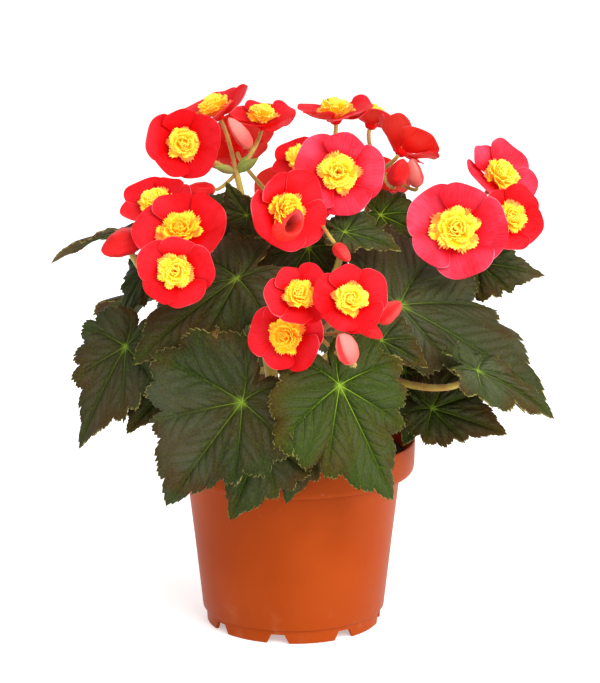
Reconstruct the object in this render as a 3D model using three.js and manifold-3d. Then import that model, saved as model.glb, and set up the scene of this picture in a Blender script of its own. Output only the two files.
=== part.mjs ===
// A begonia in bloom in its round nursery pot: pot, soil, seven leafy shoots that stand in the soil,
// double flowers with red outer petals and a yellow ruffled centre, and closed buds.
// Millimetres, +Z up. The origin is on the pot's axis, at the level of the surface that the pot stands on.
// -Y is the side that faces the viewer.
import * as THREE from "three";
import { mergeVertices } from "three/addons/utils/BufferGeometryUtils.js";
import Module from "manifold-3d";

const wasm = await Module();
wasm.setup();

// Driving dimensions of the pot
const POT_HEIGHT = 100;
const RIM_RADIUS = 65;
const WALL = 1.3;
const CREASE_HEIGHT = 82;
const CREASE_RADIUS = 57.2;
const FOOT_HEIGHT = 7;
const FOOT_RADIUS = 46.6;
const FOOT_RING_WALL = 1.9;
const FOOT_DRAFT = 0.4;
const STEP_OUT = 1.8;
const STEP_RISE = 0.7;
const RIM_UNDERSIDE_RISE = 1;
const RIM_CORNER = 2.5;
const RIM_BAND_START = 5;
const FLOOR_UNDERSIDE = 5;
const CENTRE_FOOT_RADIUS = 15;
const CENTRE_FOOT_SLOPE = 3;
const POT_SIDES = 24;
const NOTCHES = 8;
const NOTCH_HEIGHT = 5;
const NOTCH_WIDTH = 12;
const NOTCH_TOP_WIDTH = 7;
const NOTCH_DEPTH = 6;
const FIRST_NOTCH = -10;
const DRAIN_RADIUS = 4;
const DRAIN_RING = 31;
const DRAIN_SIDES = 6;
const CUT_PAST = 1;

// Driving dimensions of the soil and the shoots
const GAP = 0.35;
const HOLE_GAP = 0.6;
const SOIL_LEVEL = 90;
const SOIL_BUMP = 1.6;
const SOIL_BROAD_WAVES = { x: 0.31, y: 0.27, start: 1.3 };
const SOIL_FINE_WAVES = { height: 0.4, across: 0.55 };
const SOIL_TOP_FROM = 89.9;
const SOIL_OVER_LEDGE = { radius: 60.2, underside: 84.4, top: 86.4 };
const SOIL_RINGS = [61.6, 44, 24, 0];
const SOIL_SIDES = 12;
const STEM_RADIUS = 4;
const STEM_FOOT = 68;
const STEM_CLEAR = 102;
const PEDUNCLE_RADIUS = 2;
const PEDUNCLE_BOW = 0.3;
const PETIOLE_RADIUS = 1.9;
const PEDICEL_RADIUS = 1.2;
const HOLE_SIDES = 6;
const STEM_SIDES = 6;
const STEM_STEPS = 4;
const PEDUNCLE_SIDES = 5;
const PEDUNCLE_STEPS = 3;
const PETIOLE_SIDES = 4;
const PETIOLE_STEPS = 3;
const PEDICEL_SIDES = 4;
const PEDICEL_STEPS = 2;

// Driving dimensions of the blades
const LEAF_THICKNESS = 0.8;
const LEAF_FOLD = 0.1;
const LEAF_ARCH = 0.16;
const LEAF_CROSS_ARCH = 0.12;
const LEAF_WAVE = 0.035;
const LEAF_WAVES = 7;
const VEIN_RING = 0.5;
const VEIN_RING_DRAWS_IN = 0.16;
const EDGE_POINTS_PER_VEIN = 4;
const SMALL_LEAF = 37;
const LEAF_ARRIVAL = 0.35;
const USUAL_HALVES = [1, 1];
const PETALS = 5;
const PETAL_THICKNESS = 0.7;
const PETAL_LIFT = 0.14;
const PETAL_LIFT_VARIES = 0.06;
const PETAL_LIFT_TURNS = 2.4;
const PETAL_BOWL = 0.25;
const PETAL_ROLL = 0.14;
const PETAL_MIDDLE = 0.55;
const PLATE_RADIUS = 4;
const PETAL_RISES_FROM = 3.2;
const RECEPTACLE_DEPTH = 3;
const RECEPTACLE_TAPER = 0.6;
const TYPICAL_BLOOM = 24;
const LARGE_BLOOM = 24.5;
const RUFFLES = { usual: 5, large: 6 };
const BLOOM_ARRIVAL = 0.25;
const BUD_ARRIVAL = 0.2;
const BUD_FLATNESS = 0.75;
const BUD_SIDES = 6;
const BRACT_WIDTH = 5.5;
const BRACT_FLATNESS = 0.6;
const BRACT_SIDES = 4;

// The yellow ruffle: its core's rings, and its outer and inner layer of small petals. `round` is the sum of
// the widths of a layer's petals, `cupped` how much of the bloom's cup its slope takes.
const RUFFLE_MIDDLE = 4;
const RUFFLE_ROOT = { radius: 2, height: 1, perLayer: 1.9 };
const RUFFLE_SLOPE_VARIES = 0.16;
const RUFFLE_SLOPE_TURNS = { petal: 2.1, layer: 1.3 };
const RUFFLE_END = [0.92, 0.78, 1];
const CORE = { foot: 2.2, waist: 3.2, waistHeight: 2, neck: 2.2, neckHeight: 3.8, top: 4.5 };
const RUFFLE_LAYERS = [
  { length: 11.5, round: 57, slope: 0.55, cupped: 1, twist: 0 },
  { length: 8.5, round: 35, slope: 1.05, cupped: 0.4, twist: 0.5 },
];

// A petal's edge from its right root corner round to its left one, as shares of the bloom's radius, and how
// long and how wide each petal of a bloom is beside the usual.
const PETAL_EDGE = [
  [0.36, -0.24], [0.62, -0.5], [0.9, -0.4], [1.02, 0], [0.9, 0.4], [0.62, 0.5], [0.36, 0.24],
];
const PETAL_SIZES = [[1, 1.12], [0.86, 0.96], [1, 1.15], [0.88, 1], [0.96, 1.08]];

// A leaf's edge, as [angle from the midrib in degrees, radius as a share of the length], from the notch at
// the stalk round to the notch again. Every fourth point starts a new vein. The half past the tip is the
// broader one.
const LEAF_EDGE = [
  [-180, 0.18], [-168, 0.28], [-152, 0.36], [-134, 0.37], [-116, 0.45], [-100, 0.41], [-84, 0.5],
  [-68, 0.46], [-54, 0.54], [-41, 0.48], [-31, 0.6], [-21, 0.58], [-13, 0.72], [-7, 0.8], [0, 1],
  [8, 0.84], [16, 0.78], [26, 0.66], [35, 0.7], [42, 0.57], [50, 0.66], [64, 0.6], [76, 0.66],
  [92, 0.54], [108, 0.57], [126, 0.47], [144, 0.47], [164, 0.34],
];

// Shoots: where each stem enters the soil, where it forks, where its flower stalks part, and the tips of the
// bracts that stand there.
const SHOOTS = {
  left: {
    root: [-17, -3], fork: [-32, -2, 150], spray: [-57, -4, 213],
    bracts: [],
  },
  front: {
    root: [2, -19], fork: [4, -34, 132], spray: [12, -76, 172],
    bracts: [],
  },
  right: {
    root: [18, -5], fork: [38, -12, 142], spray: [92, -6, 210],
    bracts: [],
  },
  top_left: {
    root: [-9, 12], fork: [-16, 14, 160], spray: [-30, 14, 240],
    bracts: [[-42, 6, 245], [-18, 9, 249], [-21, 16, 251]],
  },
  centre: {
    root: [3, 0], fork: [4, -2, 160], spray: [10, -12, 226],
    bracts: [],
  },
  top_right: {
    root: [14, 14], fork: [26, 18, 158], spray: [46, 24, 240],
    bracts: [],
  },
  back: {
    root: [0, 24], fork: [-2, 40, 148], spray: [0, 62, 208],
    bracts: [],
  },
};

// Each shoot's leaves: how far up the stem the leaf stalk starts, the hub where the veins meet, the tip, the
// way the upper face looks, the side (1 left, -1 right, seen along the midrib) on which the broad half lies,
// how steeply the broad and the narrow half fold up from the midrib where that isn't LEAF_FOLD, how wide the
// narrow and the broad half are where they aren't as wide as usual, and whether the edge has only its lobes,
// as the small leaves have.
const LEAVES = {
  left: [
    { at: 0.8, hub: [-86, -39, 158], tip: [-115, -48, 108], faces: [-0.5, -0.8, 0.2], side: 1, fold: 0.4 },
    { at: 0.95, hub: [-90, 8, 210], tip: [-129, 0, 202], faces: [-0.25, 0.22, 0.94], side: 1 },
    { at: 0.9, hub: [-76, 4, 192], tip: [-96, -6, 164], faces: [-0.5, -0.4, 0.75], side: 1, lobes: true },
    { at: 0.6, hub: [-60, -42, 142], tip: [-86, -56, 118], faces: [-0.4, -0.9, 0.2], side: -1 },
    { at: 0.7, hub: [-74, 42, 172], tip: [-118, 66, 140], faces: [-0.5, 0.4, 0.8], side: 1, lobes: true },
  ],
  front: [
    {
      at: 0.7, hub: [-25, -94, 142], tip: [-68, -85, 83],
      faces: [-0.1, -0.95, 0.25], side: -1, halves: [1, 1.08],
    },
    {
      at: 0.6, hub: [23, -96, 151], tip: [54, -83, 85],
      faces: [0.1, -0.9, 0.3], side: -1, halves: [0.9, 0.92],
    },
    { at: 0.4, hub: [-16, -78, 119], tip: [-33, -79, 75], faces: [0, -0.95, 0.3], side: 1 },
    { at: 0.3, hub: [8, -76, 118], tip: [-4, -78, 84], faces: [0, -0.95, 0.3], side: -1 },
  ],
  right: [
    { at: 0.7, hub: [44, -75, 169], tip: [68, -80, 158], faces: [0.1, -0.8, 0.6], side: 1 },
    {
      at: 0.95, hub: [54, -46, 181], tip: [137, -42, 139],
      faces: [0.15, -0.5, 0.85], side: 1, narrow: -0.6, halves: [0.55, 1],
    },
    {
      at: 0.8, hub: [84, -10, 142], tip: [58, -34, 106],
      faces: [0.1, -0.85, 0.5], side: -1, halves: [1, 1.1],
    },
    { at: 0.9, hub: [98, 16, 192], tip: [134, 12, 188], faces: [0.2, -0.8, 0.5], side: -1 },
    {
      at: 0.95, hub: [93, -64, 151], tip: [139, -50, 129],
      faces: [0.5, -0.4, 0.75], side: 1, halves: [1, 0.5],
    },
    { at: 0.4, hub: [58, -16, 140], tip: [46, -30, 112], faces: [0.1, -0.95, 0.3], side: 1 },
    { at: 0.4, hub: [72, -34, 124], tip: [112, -38, 113], faces: [0.1, -0.85, 0.5], side: 1, lobes: true },
  ],
  top_left: [
    { at: 0.95, hub: [9, 22, 230], tip: [-2, 30, 256], faces: [-0.2, -0.9, 0.3], side: 1 },
    { at: 0.9, hub: [-24, -20, 223], tip: [-34, -30, 240], faces: [-0.3, -0.9, 0.3], side: 1 },
    { at: 0.8, hub: [-48, 58, 195], tip: [-76, 96, 170], faces: [-0.4, 0.5, 0.8], side: -1, lobes: true },
    { at: 0.9, hub: [-28, -3, 221], tip: [-35, -24, 193], faces: [-0.1, -0.75, 0.65], side: -1 },
  ],
  centre: [
    {
      at: 0.8, hub: [-28, -57, 197], tip: [-84, -74, 163],
      faces: [-0.3, -0.6, 0.74], side: -1, fold: -0.07, halves: [1.1, 0.9],
    },
    { at: 0.95, hub: [26, -42, 218], tip: [55, -50, 213], faces: [0.1, -0.5, 0.85], side: 1 },
    { at: 0.9, hub: [8, -17, 206], tip: [12, -30, 162], faces: [0, -0.95, 0.3], side: -1, lobes: true },
  ],
  top_right: [
    { at: 0.95, hub: [46, 12, 218], tip: [73, 4, 208], faces: [0.2, -0.7, 0.6], side: 1, lobes: true },
    { at: 0.8, hub: [64, 56, 192], tip: [104, 84, 164], faces: [0.5, 0.4, 0.8], side: 1, lobes: true },
  ],
  back: [
    { at: 0.4, hub: [-22, 92, 146], tip: [-30, 112, 92], faces: [-0.2, 0.9, 0.5], side: 1, lobes: true },
    { at: 0.5, hub: [34, 94, 142], tip: [48, 112, 90], faces: [0.2, 0.9, 0.5], side: -1, lobes: true },
    { at: 0.7, hub: [76, 66, 142], tip: [112, 88, 108], faces: [0.7, 0.5, 0.6], side: 1, lobes: true },
    { at: 0.6, hub: [-66, 72, 138], tip: [-98, 94, 100], faces: [-0.7, 0.6, 0.5], side: -1, lobes: true },
    { at: 0.9, hub: [4, 66, 196], tip: [8, 108, 172], faces: [0, 0.6, 0.8], side: 1, lobes: true },
  ],
};

// Each shoot's blooms: the centre, the way the bloom faces, its radius, how far its petals stand up, and how
// far it is turned about its own axis.
const BLOOMS = {
  left: {
    e1: { centre: [-71, -11, 228], faces: [-0.3, -0.55, 0.8], radius: 20, cup: 0.1, spin: 0 },
    e2: { centre: [-57, -48, 219], faces: [-0.1, -0.72, 0.68], radius: 24, cup: 0.1, spin: 30 },
    e3: { centre: [-58, -76, 204], faces: [-0.05, -0.97, 0.2], radius: 19, cup: 0.1, spin: 10 },
  },
  front: {
    f1: { centre: [3, -116, 200], faces: [0.05, -0.86, 0.5], radius: 16.5, cup: 0.1, spin: 42 },
    f2: { centre: [27, -123, 199], faces: [0.1, -0.9, 0.4], radius: 18, cup: 0.22, spin: 20 },
    f3: { centre: [-3, -105, 178], faces: [-0.3, -0.93, 0.1], radius: 19, cup: 0.12, spin: 31 },
  },
  right: {
    d1: { centre: [83, -34, 218], faces: [-0.05, -0.95, 0.3], radius: 26, cup: 0.08, spin: 0 },
    d2: { centre: [109, 16, 238], faces: [0.5, -0.55, 0.67], radius: 22, cup: 0.1, spin: 36 },
    d3: { centre: [112, -18, 221], faces: [0.3, -0.85, 0.35], radius: 18.5, cup: 0.1, spin: 50 },
  },
  top_left: {
    a1: { centre: [-58, 12, 256], faces: [0.15, -0.95, 0.15], radius: 20, cup: 0.3, spin: 20 },
    a2: { centre: [-42, 32, 272], faces: [-0.45, -0.2, 0.85], radius: 21, cup: 0.1, spin: 50 },
    a3: { centre: [-17, 40, 267], faces: [0.05, -0.3, 0.93], radius: 18, cup: 0.1, spin: 10 },
  },
  centre: {
    b1: { centre: [22, 12, 273], faces: [-0.05, -0.12, 0.99], radius: 20, cup: 0.1, spin: 30 },
    b2: { centre: [23, -28, 246], faces: [0, -0.93, 0.35], radius: 23, cup: 0.1, spin: 0 },
    b3: { centre: [-4, -50, 230], faces: [0.55, -0.82, 0.15], radius: 22, cup: 0.2, spin: 40 },
    b4: { centre: [3, 6, 249], faces: [-0.4, -0.6, 0.7], radius: 16, cup: 0.1, spin: 0 },
  },
  top_right: {
    c1: { centre: [43, 45, 266], faces: [0.3, 0.15, 0.94], radius: 17, cup: 0.25, spin: 0 },
    c2: { centre: [59, 13, 255], faces: [0.55, 0.45, 0.7], radius: 20, cup: 0.3, spin: 20 },
  },
  back: {
    g1: { centre: [-32, 62, 249], faces: [-0.2, 0.8, 0.55], radius: 22, cup: 0.1, spin: 0 },
    g2: { centre: [2, 92, 214], faces: [0.05, 0.9, 0.4], radius: 24, cup: 0.1, spin: 20 },
    g3: { centre: [42, 74, 228], faces: [0.3, 0.7, 0.6], radius: 22, cup: 0.1, spin: 40 },
  },
};

// Each shoot's buds: the base, the tip and the width.
const BUDS = {
  left: {
    e: { base: [-77, -34, 215], tip: [-97, -44, 208], width: 19 },
  },
  front: {
    f1: { base: [29, -128, 170], tip: [22, -137, 185], width: 13 },
    f2: { base: [31, -112, 186], tip: [43, -116, 179], width: 10 },
    f3: { base: [41, -106, 185], tip: [52, -110, 195], width: 13 },
  },
  right: {},
  top_left: {
    a: { base: [-22, 14, 253], tip: [-34, 8, 270], width: 9 },
    a_low: { base: [-41, 16, 231], tip: [-57, 10, 232], width: 11 },
  },
  centre: {
    b: { base: [21, -59, 215], tip: [28, -65, 207], width: 9 },
  },
  top_right: {
    c: { base: [53, 2, 235], tip: [57, -4, 250], width: 13 },
    c_pale: { base: [65, 9, 233], tip: [62, 4, 249], width: 10 },
  },
  back: {},
};

// A bract's and a bud's profile, as [share of the width, share of the length].
const BRACT_PROFILE = [[0, 0], [0.5, 0.45], [0, 1]];
const BUD_PROFILE = [[0, 0], [0.36, 0.1], [0.5, 0.36], [0.42, 0.68], [0.2, 0.92], [0, 1]];

const UP = new THREE.Vector3(0, 0, 1);
const point = (p) => new THREE.Vector3(...p);
const radians = THREE.MathUtils.degToRad;

// Closed solids

function solidOf(geometry) {
  geometry.deleteAttribute("normal");
  geometry.deleteAttribute("uv");
  const merged = mergeVertices(geometry, 1e-4);
  const mesh = new wasm.Mesh({
    numProp: 3,
    vertProperties: new Float32Array(merged.attributes.position.array),
    triVerts: new Uint32Array(merged.index.array),
  });
  return new wasm.Manifold(mesh);
}

function geometryOf(solid) {
  const mesh = solid.getMesh();
  const geometry = new THREE.BufferGeometry();
  geometry.setAttribute("position", new THREE.BufferAttribute(mesh.vertProperties, 3));
  geometry.setIndex(new THREE.BufferAttribute(mesh.triVerts, 1));
  return geometry;
}

// A closed surface from its points and the triangles between them.
function surface(points, triangles) {
  const geometry = new THREE.BufferGeometry().setFromPoints(points);
  geometry.setIndex(triangles.flat());
  return geometry;
}

const joined = (solids) => solids.reduce((whole, solid) => whole.add(solid));

// The two triangles of a four-sided face.
const square = (a, b, c, d) => [[a, b, c], [a, c, d]];

// A round stalk along a curve.
function stalk(path, radius, sides, steps) {
  const section = new THREE.Shape();
  for (let i = 0; i < sides; i++) {
    const angle = (2 * Math.PI * i) / sides;
    const place = [radius * Math.cos(angle), radius * Math.sin(angle)];
    if (i === 0) section.moveTo(...place);
    else section.lineTo(...place);
  }
  section.closePath();
  return solidOf(new THREE.ExtrudeGeometry(section, { steps, extrudePath: path, bevelEnabled: false }));
}

// A bent path that arrives at its end along the given direction.
function arrival(from, to, direction, reach) {
  const before = to.clone().addScaledVector(direction, -reach * from.distanceTo(to));
  return new THREE.QuadraticBezierCurve3(from, before, to);
}

// The pot

function potProfile() {
  const outside = [
    [0, 0],
    [CENTRE_FOOT_RADIUS, 0],
    [CENTRE_FOOT_RADIUS + CENTRE_FOOT_SLOPE, FLOOR_UNDERSIDE],
    [FOOT_RADIUS - FOOT_RING_WALL, FLOOR_UNDERSIDE],
    [FOOT_RADIUS - FOOT_RING_WALL, 0],
    [FOOT_RADIUS, 0],
    [FOOT_RADIUS + FOOT_DRAFT, FOOT_HEIGHT],
    [FOOT_RADIUS + STEP_OUT, FOOT_HEIGHT + STEP_RISE],
    [CREASE_RADIUS, CREASE_HEIGHT],
    [RIM_RADIUS - RIM_CORNER, CREASE_HEIGHT + RIM_UNDERSIDE_RISE],
    [RIM_RADIUS, CREASE_HEIGHT + RIM_BAND_START],
    [RIM_RADIUS, POT_HEIGHT],
  ];
  const inside = [
    [RIM_RADIUS - WALL, POT_HEIGHT],
    [RIM_RADIUS - WALL, CREASE_HEIGHT + RIM_BAND_START],
    [CREASE_RADIUS - WALL, CREASE_HEIGHT + WALL],
    [FOOT_RADIUS + STEP_OUT - WALL, FOOT_HEIGHT + STEP_RISE],
    [CENTRE_FOOT_RADIUS + CENTRE_FOOT_SLOPE - WALL, FLOOR_UNDERSIDE + WALL],
    [CENTRE_FOOT_RADIUS - WALL, WALL],
    [0, WALL],
  ];
  return [...outside, ...inside].map(([r, z]) => new THREE.Vector2(r, z));
}

// LatheGeometry turns its profile about Y, so the result is stood up on +Z.
function turned(profile, sides) {
  const geometry = new THREE.LatheGeometry(profile, sides);
  geometry.rotateX(Math.PI / 2);
  return solidOf(geometry);
}

function notchCutter() {
  const outline = new THREE.Shape();
  outline.moveTo(-NOTCH_WIDTH / 2, -CUT_PAST);
  outline.lineTo(NOTCH_WIDTH / 2, -CUT_PAST);
  outline.lineTo(NOTCH_TOP_WIDTH / 2, NOTCH_HEIGHT);
  outline.lineTo(-NOTCH_TOP_WIDTH / 2, NOTCH_HEIGHT);
  outline.closePath();
  const geometry = new THREE.ExtrudeGeometry(outline, { depth: 2 * NOTCH_DEPTH, bevelEnabled: false });
  geometry.rotateX(Math.PI / 2);
  geometry.translate(0, NOTCH_DEPTH - FOOT_RADIUS, 0);
  return geometry;
}

function makePot() {
  const shell = turned(potProfile(), POT_SIDES);
  const cutters = [];
  for (let i = 0; i < NOTCHES; i++) {
    const angle = radians(FIRST_NOTCH + (360 / NOTCHES) * i);
    cutters.push(solidOf(notchCutter().rotateZ(angle)));
    const drain = new THREE.CylinderGeometry(DRAIN_RADIUS, DRAIN_RADIUS, 2 * FLOOR_UNDERSIDE, DRAIN_SIDES);
    drain.rotateX(Math.PI / 2);
    drain.translate(DRAIN_RING * Math.cos(angle), DRAIN_RING * Math.sin(angle), FLOOR_UNDERSIDE);
    cutters.push(solidOf(drain));
  }
  return shell.subtract(joined(cutters));
}

// The soil, whose top is a little uneven
function soilHeight(x, y) {
  const { x: alongX, y: alongY, start } = SOIL_BROAD_WAVES;
  const broad = Math.sin(alongX * x + start) * Math.cos(alongY * y);
  const fine = SOIL_FINE_WAVES.height * Math.sin(SOIL_FINE_WAVES.across * (x + y));
  return SOIL_LEVEL + SOIL_BUMP * (broad + fine);
}

function makeSoil() {
  const profile = [
    [0, WALL + GAP],
    [CENTRE_FOOT_RADIUS - WALL - GAP, WALL + GAP],
    [CENTRE_FOOT_RADIUS + CENTRE_FOOT_SLOPE - WALL - GAP, FLOOR_UNDERSIDE + WALL + GAP],
    [FOOT_RADIUS + STEP_OUT - WALL - 2 * GAP, FOOT_HEIGHT + STEP_RISE + GAP],
    [CREASE_RADIUS - WALL - 2 * GAP, CREASE_HEIGHT],
    [CREASE_RADIUS - WALL - 2 * GAP, SOIL_OVER_LEDGE.underside],
    [SOIL_OVER_LEDGE.radius, SOIL_OVER_LEDGE.top],
    ...SOIL_RINGS.map((r) => [r, SOIL_LEVEL]),
  ].map(([r, z]) => new THREE.Vector2(r, z));
  const geometry = new THREE.LatheGeometry(profile, SOIL_SIDES);
  geometry.rotateX(Math.PI / 2);
  const place = geometry.attributes.position;
  for (let i = 0; i < place.count; i++) {
    if (place.getZ(i) > SOIL_TOP_FROM) place.setZ(i, soilHeight(place.getX(i), place.getY(i)));
  }
  const holes = Object.values(SHOOTS).map(({ root }) => {
    const hole = new THREE.LineCurve3(point([...root, STEM_FOOT - GAP]), point([...root, STEM_CLEAR]));
    return stalk(hole, STEM_RADIUS + HOLE_GAP, HOLE_SIDES, 1);
  });
  return solidOf(geometry).subtract(joined(holes));
}

// Leaves

// The height of a leaf's surface above its flat plane, in shares of its length: each half folds from the
// midrib, the whole arches along it, and the edge waves.
function leafHeight(u, v, share, angle, leaf) {
  const fold = (v < 0 ? leaf.narrow : leaf.fold) ?? LEAF_FOLD;
  const wave = LEAF_WAVE * share ** 3 * Math.sin(LEAF_WAVES * radians(angle));
  return fold * Math.abs(v) - LEAF_ARCH * u * u - LEAF_CROSS_ARCH * v * v + wave;
}

// The leaf's own axes: along the midrib, across to its left, and up from the upper face.
function leafAxes(leaf) {
  const hub = point(leaf.hub);
  const along = point(leaf.tip).sub(hub);
  const length = along.length();
  along.normalize();
  const faces = point(leaf.faces);
  const up = faces.addScaledVector(along, -faces.dot(along)).normalize();
  const left = new THREE.Vector3().crossVectors(up, along);
  return { hub, along, left, up, length };
}

// A blade of even thickness: its points are the hub, a ring halfway out and the edge, and again below.
function leafBlade(leaf, axes) {
  const { hub, along, left, up, length } = axes;
  const [narrow, broad] = leaf.halves ?? USUAL_HALVES;
  const place = (angle, radius, share) => {
    const u = radius * Math.cos(radians(angle));
    const v = radius * Math.sin(radians(angle)) * (angle < 0 ? narrow : broad);
    return hub
      .clone()
      .addScaledVector(along, u * length)
      .addScaledVector(left, v * length * leaf.side)
      .addScaledVector(up, leafHeight(u, v, share, angle, leaf) * length);
  };
  const lobesOnly = leaf.lobes || length < SMALL_LEAF;
  const outline = lobesOnly ? LEAF_EDGE.filter((_, i) => i % 2 === 0) : LEAF_EDGE;
  const perVein = lobesOnly ? EDGE_POINTS_PER_VEIN / 2 : EDGE_POINTS_PER_VEIN;
  const veins = outline.length / perVein;
  const above = [place(0, 0, 0)];
  for (let i = 0; i < veins; i++) {
    const [angle, radius] = outline[perVein * (i + 0.5)];
    const share = VEIN_RING - VEIN_RING_DRAWS_IN * (angle / 180) ** 2;
    above.push(place(angle, share * radius, share));
  }
  outline.forEach(([angle, radius]) => above.push(place(angle, radius, 1)));
  const below = above.map((p) => p.clone().addScaledVector(up, -LEAF_THICKNESS));
  const ring = (i) => 1 + (i % veins);
  const edge = (i) => 1 + veins + (i % outline.length);
  const upper = [];
  for (let i = 0; i < veins; i++) {
    const first = perVein * i;
    const last = first + perVein;
    upper.push([0, ring(i), ring(i + 1)], [ring(i), edge(last), ring(i + 1)]);
    for (let k = first; k < last; k++) upper.push([ring(i), edge(k), edge(k + 1)]);
  }
  const under = above.length;
  const triangles = [...upper];
  upper.forEach(([a, b, c]) => triangles.push([a + under, c + under, b + under]));
  outline.forEach((_, i) => {
    const [here, next] = [edge(i), edge(i + 1)];
    triangles.push(...square(here, here + under, next + under, next));
  });
  const facing = leaf.side < 0 ? triangles.map(([a, b, c]) => [a, c, b]) : triangles;
  return solidOf(surface([...above, ...below], facing));
}

function stemPath({ root: [x, y], fork }) {
  const points = [[x, y, STEM_FOOT], [x, y, SOIL_LEVEL], [x, y, STEM_CLEAR], fork];
  return new THREE.CatmullRomCurve3(points.map(point));
}

function stemPoint(shoot, share) {
  const base = new THREE.Vector3(...shoot.root, STEM_CLEAR);
  return base.lerp(point(shoot.fork), share);
}

// A leaf stalk leaves the stem on a slant and meets the blade from below.
function petiole(shoot, leaf, axes) {
  const start = stemPoint(shoot, leaf.at);
  const end = axes.hub.clone().addScaledVector(axes.up, -LEAF_THICKNESS / 2);
  return stalk(arrival(start, end, axes.up, LEAF_ARRIVAL), PETIOLE_RADIUS, PETIOLE_SIDES, PETIOLE_STEPS);
}

// Blooms. In a bloom's own frame +Z is the way it faces, and z = 0 is where its petals start.

const turnedPoint = (x, y, z, angle) => new THREE.Vector3(x, y, z).applyAxisAngle(UP, angle);

// Red petals round a small plate, each with its left edge over the next one's right edge, on a tapered base.
function petalsGeometry({ radius, cup }) {
  const points = [];
  const triangles = [];
  const add = (p) => points.push(p) - 1;
  const step = (2 * Math.PI) / PETALS;
  const rim = { top: [], under: [], base: [] };
  for (let k = 0; k < PETALS; k++) {
    const angle = (k - 0.5) * step;
    rim.top.push(add(turnedPoint(PLATE_RADIUS, 0, PETAL_THICKNESS / 2, angle)));
    rim.under.push(add(turnedPoint(PLATE_RADIUS, 0, -PETAL_THICKNESS / 2, angle)));
    rim.base.push(add(turnedPoint(RECEPTACLE_TAPER * PLATE_RADIUS, 0, -RECEPTACLE_DEPTH, angle)));
  }
  const middle = add(new THREE.Vector3(0, 0, PETAL_THICKNESS / 2));
  const foot = add(new THREE.Vector3(0, 0, -RECEPTACLE_DEPTH));
  for (let k = 0; k < PETALS; k++) {
    const next = (k + 1) % PETALS;
    triangles.push([middle, rim.top[k], rim.top[next]], [foot, rim.base[next], rim.base[k]]);
    triangles.push(...square(rim.base[k], rim.base[next], rim.under[next], rim.under[k]));
    const lift = PETAL_LIFT + cup + PETAL_LIFT_VARIES * Math.sin(PETAL_LIFT_TURNS * k);
    const place = (x, y, side) => {
      const out = x - PETAL_RISES_FROM;
      const height = lift * out + (PETAL_BOWL * (out * out + y * y)) / radius + PETAL_ROLL * y;
      return add(turnedPoint(x, y, height + (side * PETAL_THICKNESS) / 2, k * step));
    };
    const [long, wide] = PETAL_SIZES[k];
    const shares = PETAL_EDGE.map(([x, y]) => (x < PETAL_MIDDLE ? [x, y] : [x * long, y * wide]));
    const outline = shares.map(([x, y]) => [x * radius, y * radius]);
    const centre = [1, -1].map((side) => place(PETAL_MIDDLE * radius, 0, side));
    const top = [rim.top[k], ...outline.map(([x, y]) => place(x, y, 1)), rim.top[next]];
    const under = [rim.under[k], ...outline.map(([x, y]) => place(x, y, -1)), rim.under[next]];
    for (let i = 0; i < top.length; i++) {
      const j = (i + 1) % top.length;
      triangles.push([centre[0], top[i], top[j]], [centre[1], under[j], under[i]]);
      if (j > 0) triangles.push(...square(top[i], under[i], under[j], top[j]));
    }
  }
  return surface(points, triangles);
}

// The yellow ruffle: two layers of notched small petals that grow out of one core.
function centreGeometry({ radius, cup }) {
  const points = [];
  const triangles = [];
  const add = (p) => points.push(p) - 1;
  const size = radius / TYPICAL_BLOOM;
  const base = PETAL_THICKNESS / 2 + GAP;
  const ruffles = radius > LARGE_BLOOM ? RUFFLES.large : RUFFLES.usual;
  const step = (2 * Math.PI) / ruffles;
  const ringAt = (across, height) => {
    const ring = [];
    for (let k = 0; k < ruffles; k++) {
      ring.push(add(turnedPoint(across, 0, base + height, (k - 0.5) * step)));
    }
    return ring;
  };
  const foot = ringAt(CORE.foot, 0);
  const waist = ringAt(CORE.waist * size, CORE.waistHeight);
  const neck = ringAt(CORE.neck * size, CORE.neckHeight);
  const bottom = add(new THREE.Vector3(0, 0, base));
  const top = add(new THREE.Vector3(0, 0, base + CORE.top));
  for (let k = 0; k < ruffles; k++) {
    const next = (k + 1) % ruffles;
    triangles.push([bottom, foot[next], foot[k]], [top, neck[k], neck[next]]);
    RUFFLE_LAYERS.forEach((layer, level) => {
      const [low, high] = level === 0 ? [foot, waist] : [waist, neck];
      const angle = (k + layer.twist) * step;
      const turns = RUFFLE_SLOPE_TURNS.petal * k + RUFFLE_SLOPE_TURNS.layer * level;
      const uneven = RUFFLE_SLOPE_VARIES * Math.sin(turns);
      const slope = layer.slope + layer.cupped * cup + uneven;
      const width = (layer.round / ruffles) * size;
      const end = (share, across, side) => {
        const along = share * layer.length * size;
        const half = (side * PETAL_THICKNESS) / 2;
        const out = RUFFLE_ROOT.radius + along * Math.cos(slope) - half * Math.sin(slope);
        const rise = along * Math.sin(slope) + half * Math.cos(slope) + PETAL_ROLL * across * width;
        const height = base + RUFFLE_ROOT.height + RUFFLE_ROOT.perLayer * level + rise;
        return add(turnedPoint(out, across * width, height, angle));
      };
      const under = RUFFLE_END.map((share, i) => end(share, (i - 1) / 2, -1));
      const over = RUFFLE_END.map((share, i) => end(share, (i - 1) / 2, 1));
      const [a, b, c, d] = [low[k], low[next], high[next], high[k]];
      triangles.push([a, b, under[1]], [b, under[2], under[1]], [a, under[1], under[0]]);
      triangles.push([d, over[1], c], [c, over[1], over[2]], [d, over[0], over[1]]);
      triangles.push(...square(b, c, over[2], under[2]));
      triangles.push(...square(d, a, under[0], over[0]));
      triangles.push(...square(under[0], under[1], over[1], over[0]));
      triangles.push(...square(under[1], under[2], over[2], over[1]));
    });
  }
  return surface(points, triangles);
}

// A bloom's centre is the middle of its ruffle, a little in front of where its petals start.
function bloomBase({ centre, faces }) {
  return point(centre).addScaledVector(point(faces).normalize(), -RUFFLE_MIDDLE);
}

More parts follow.
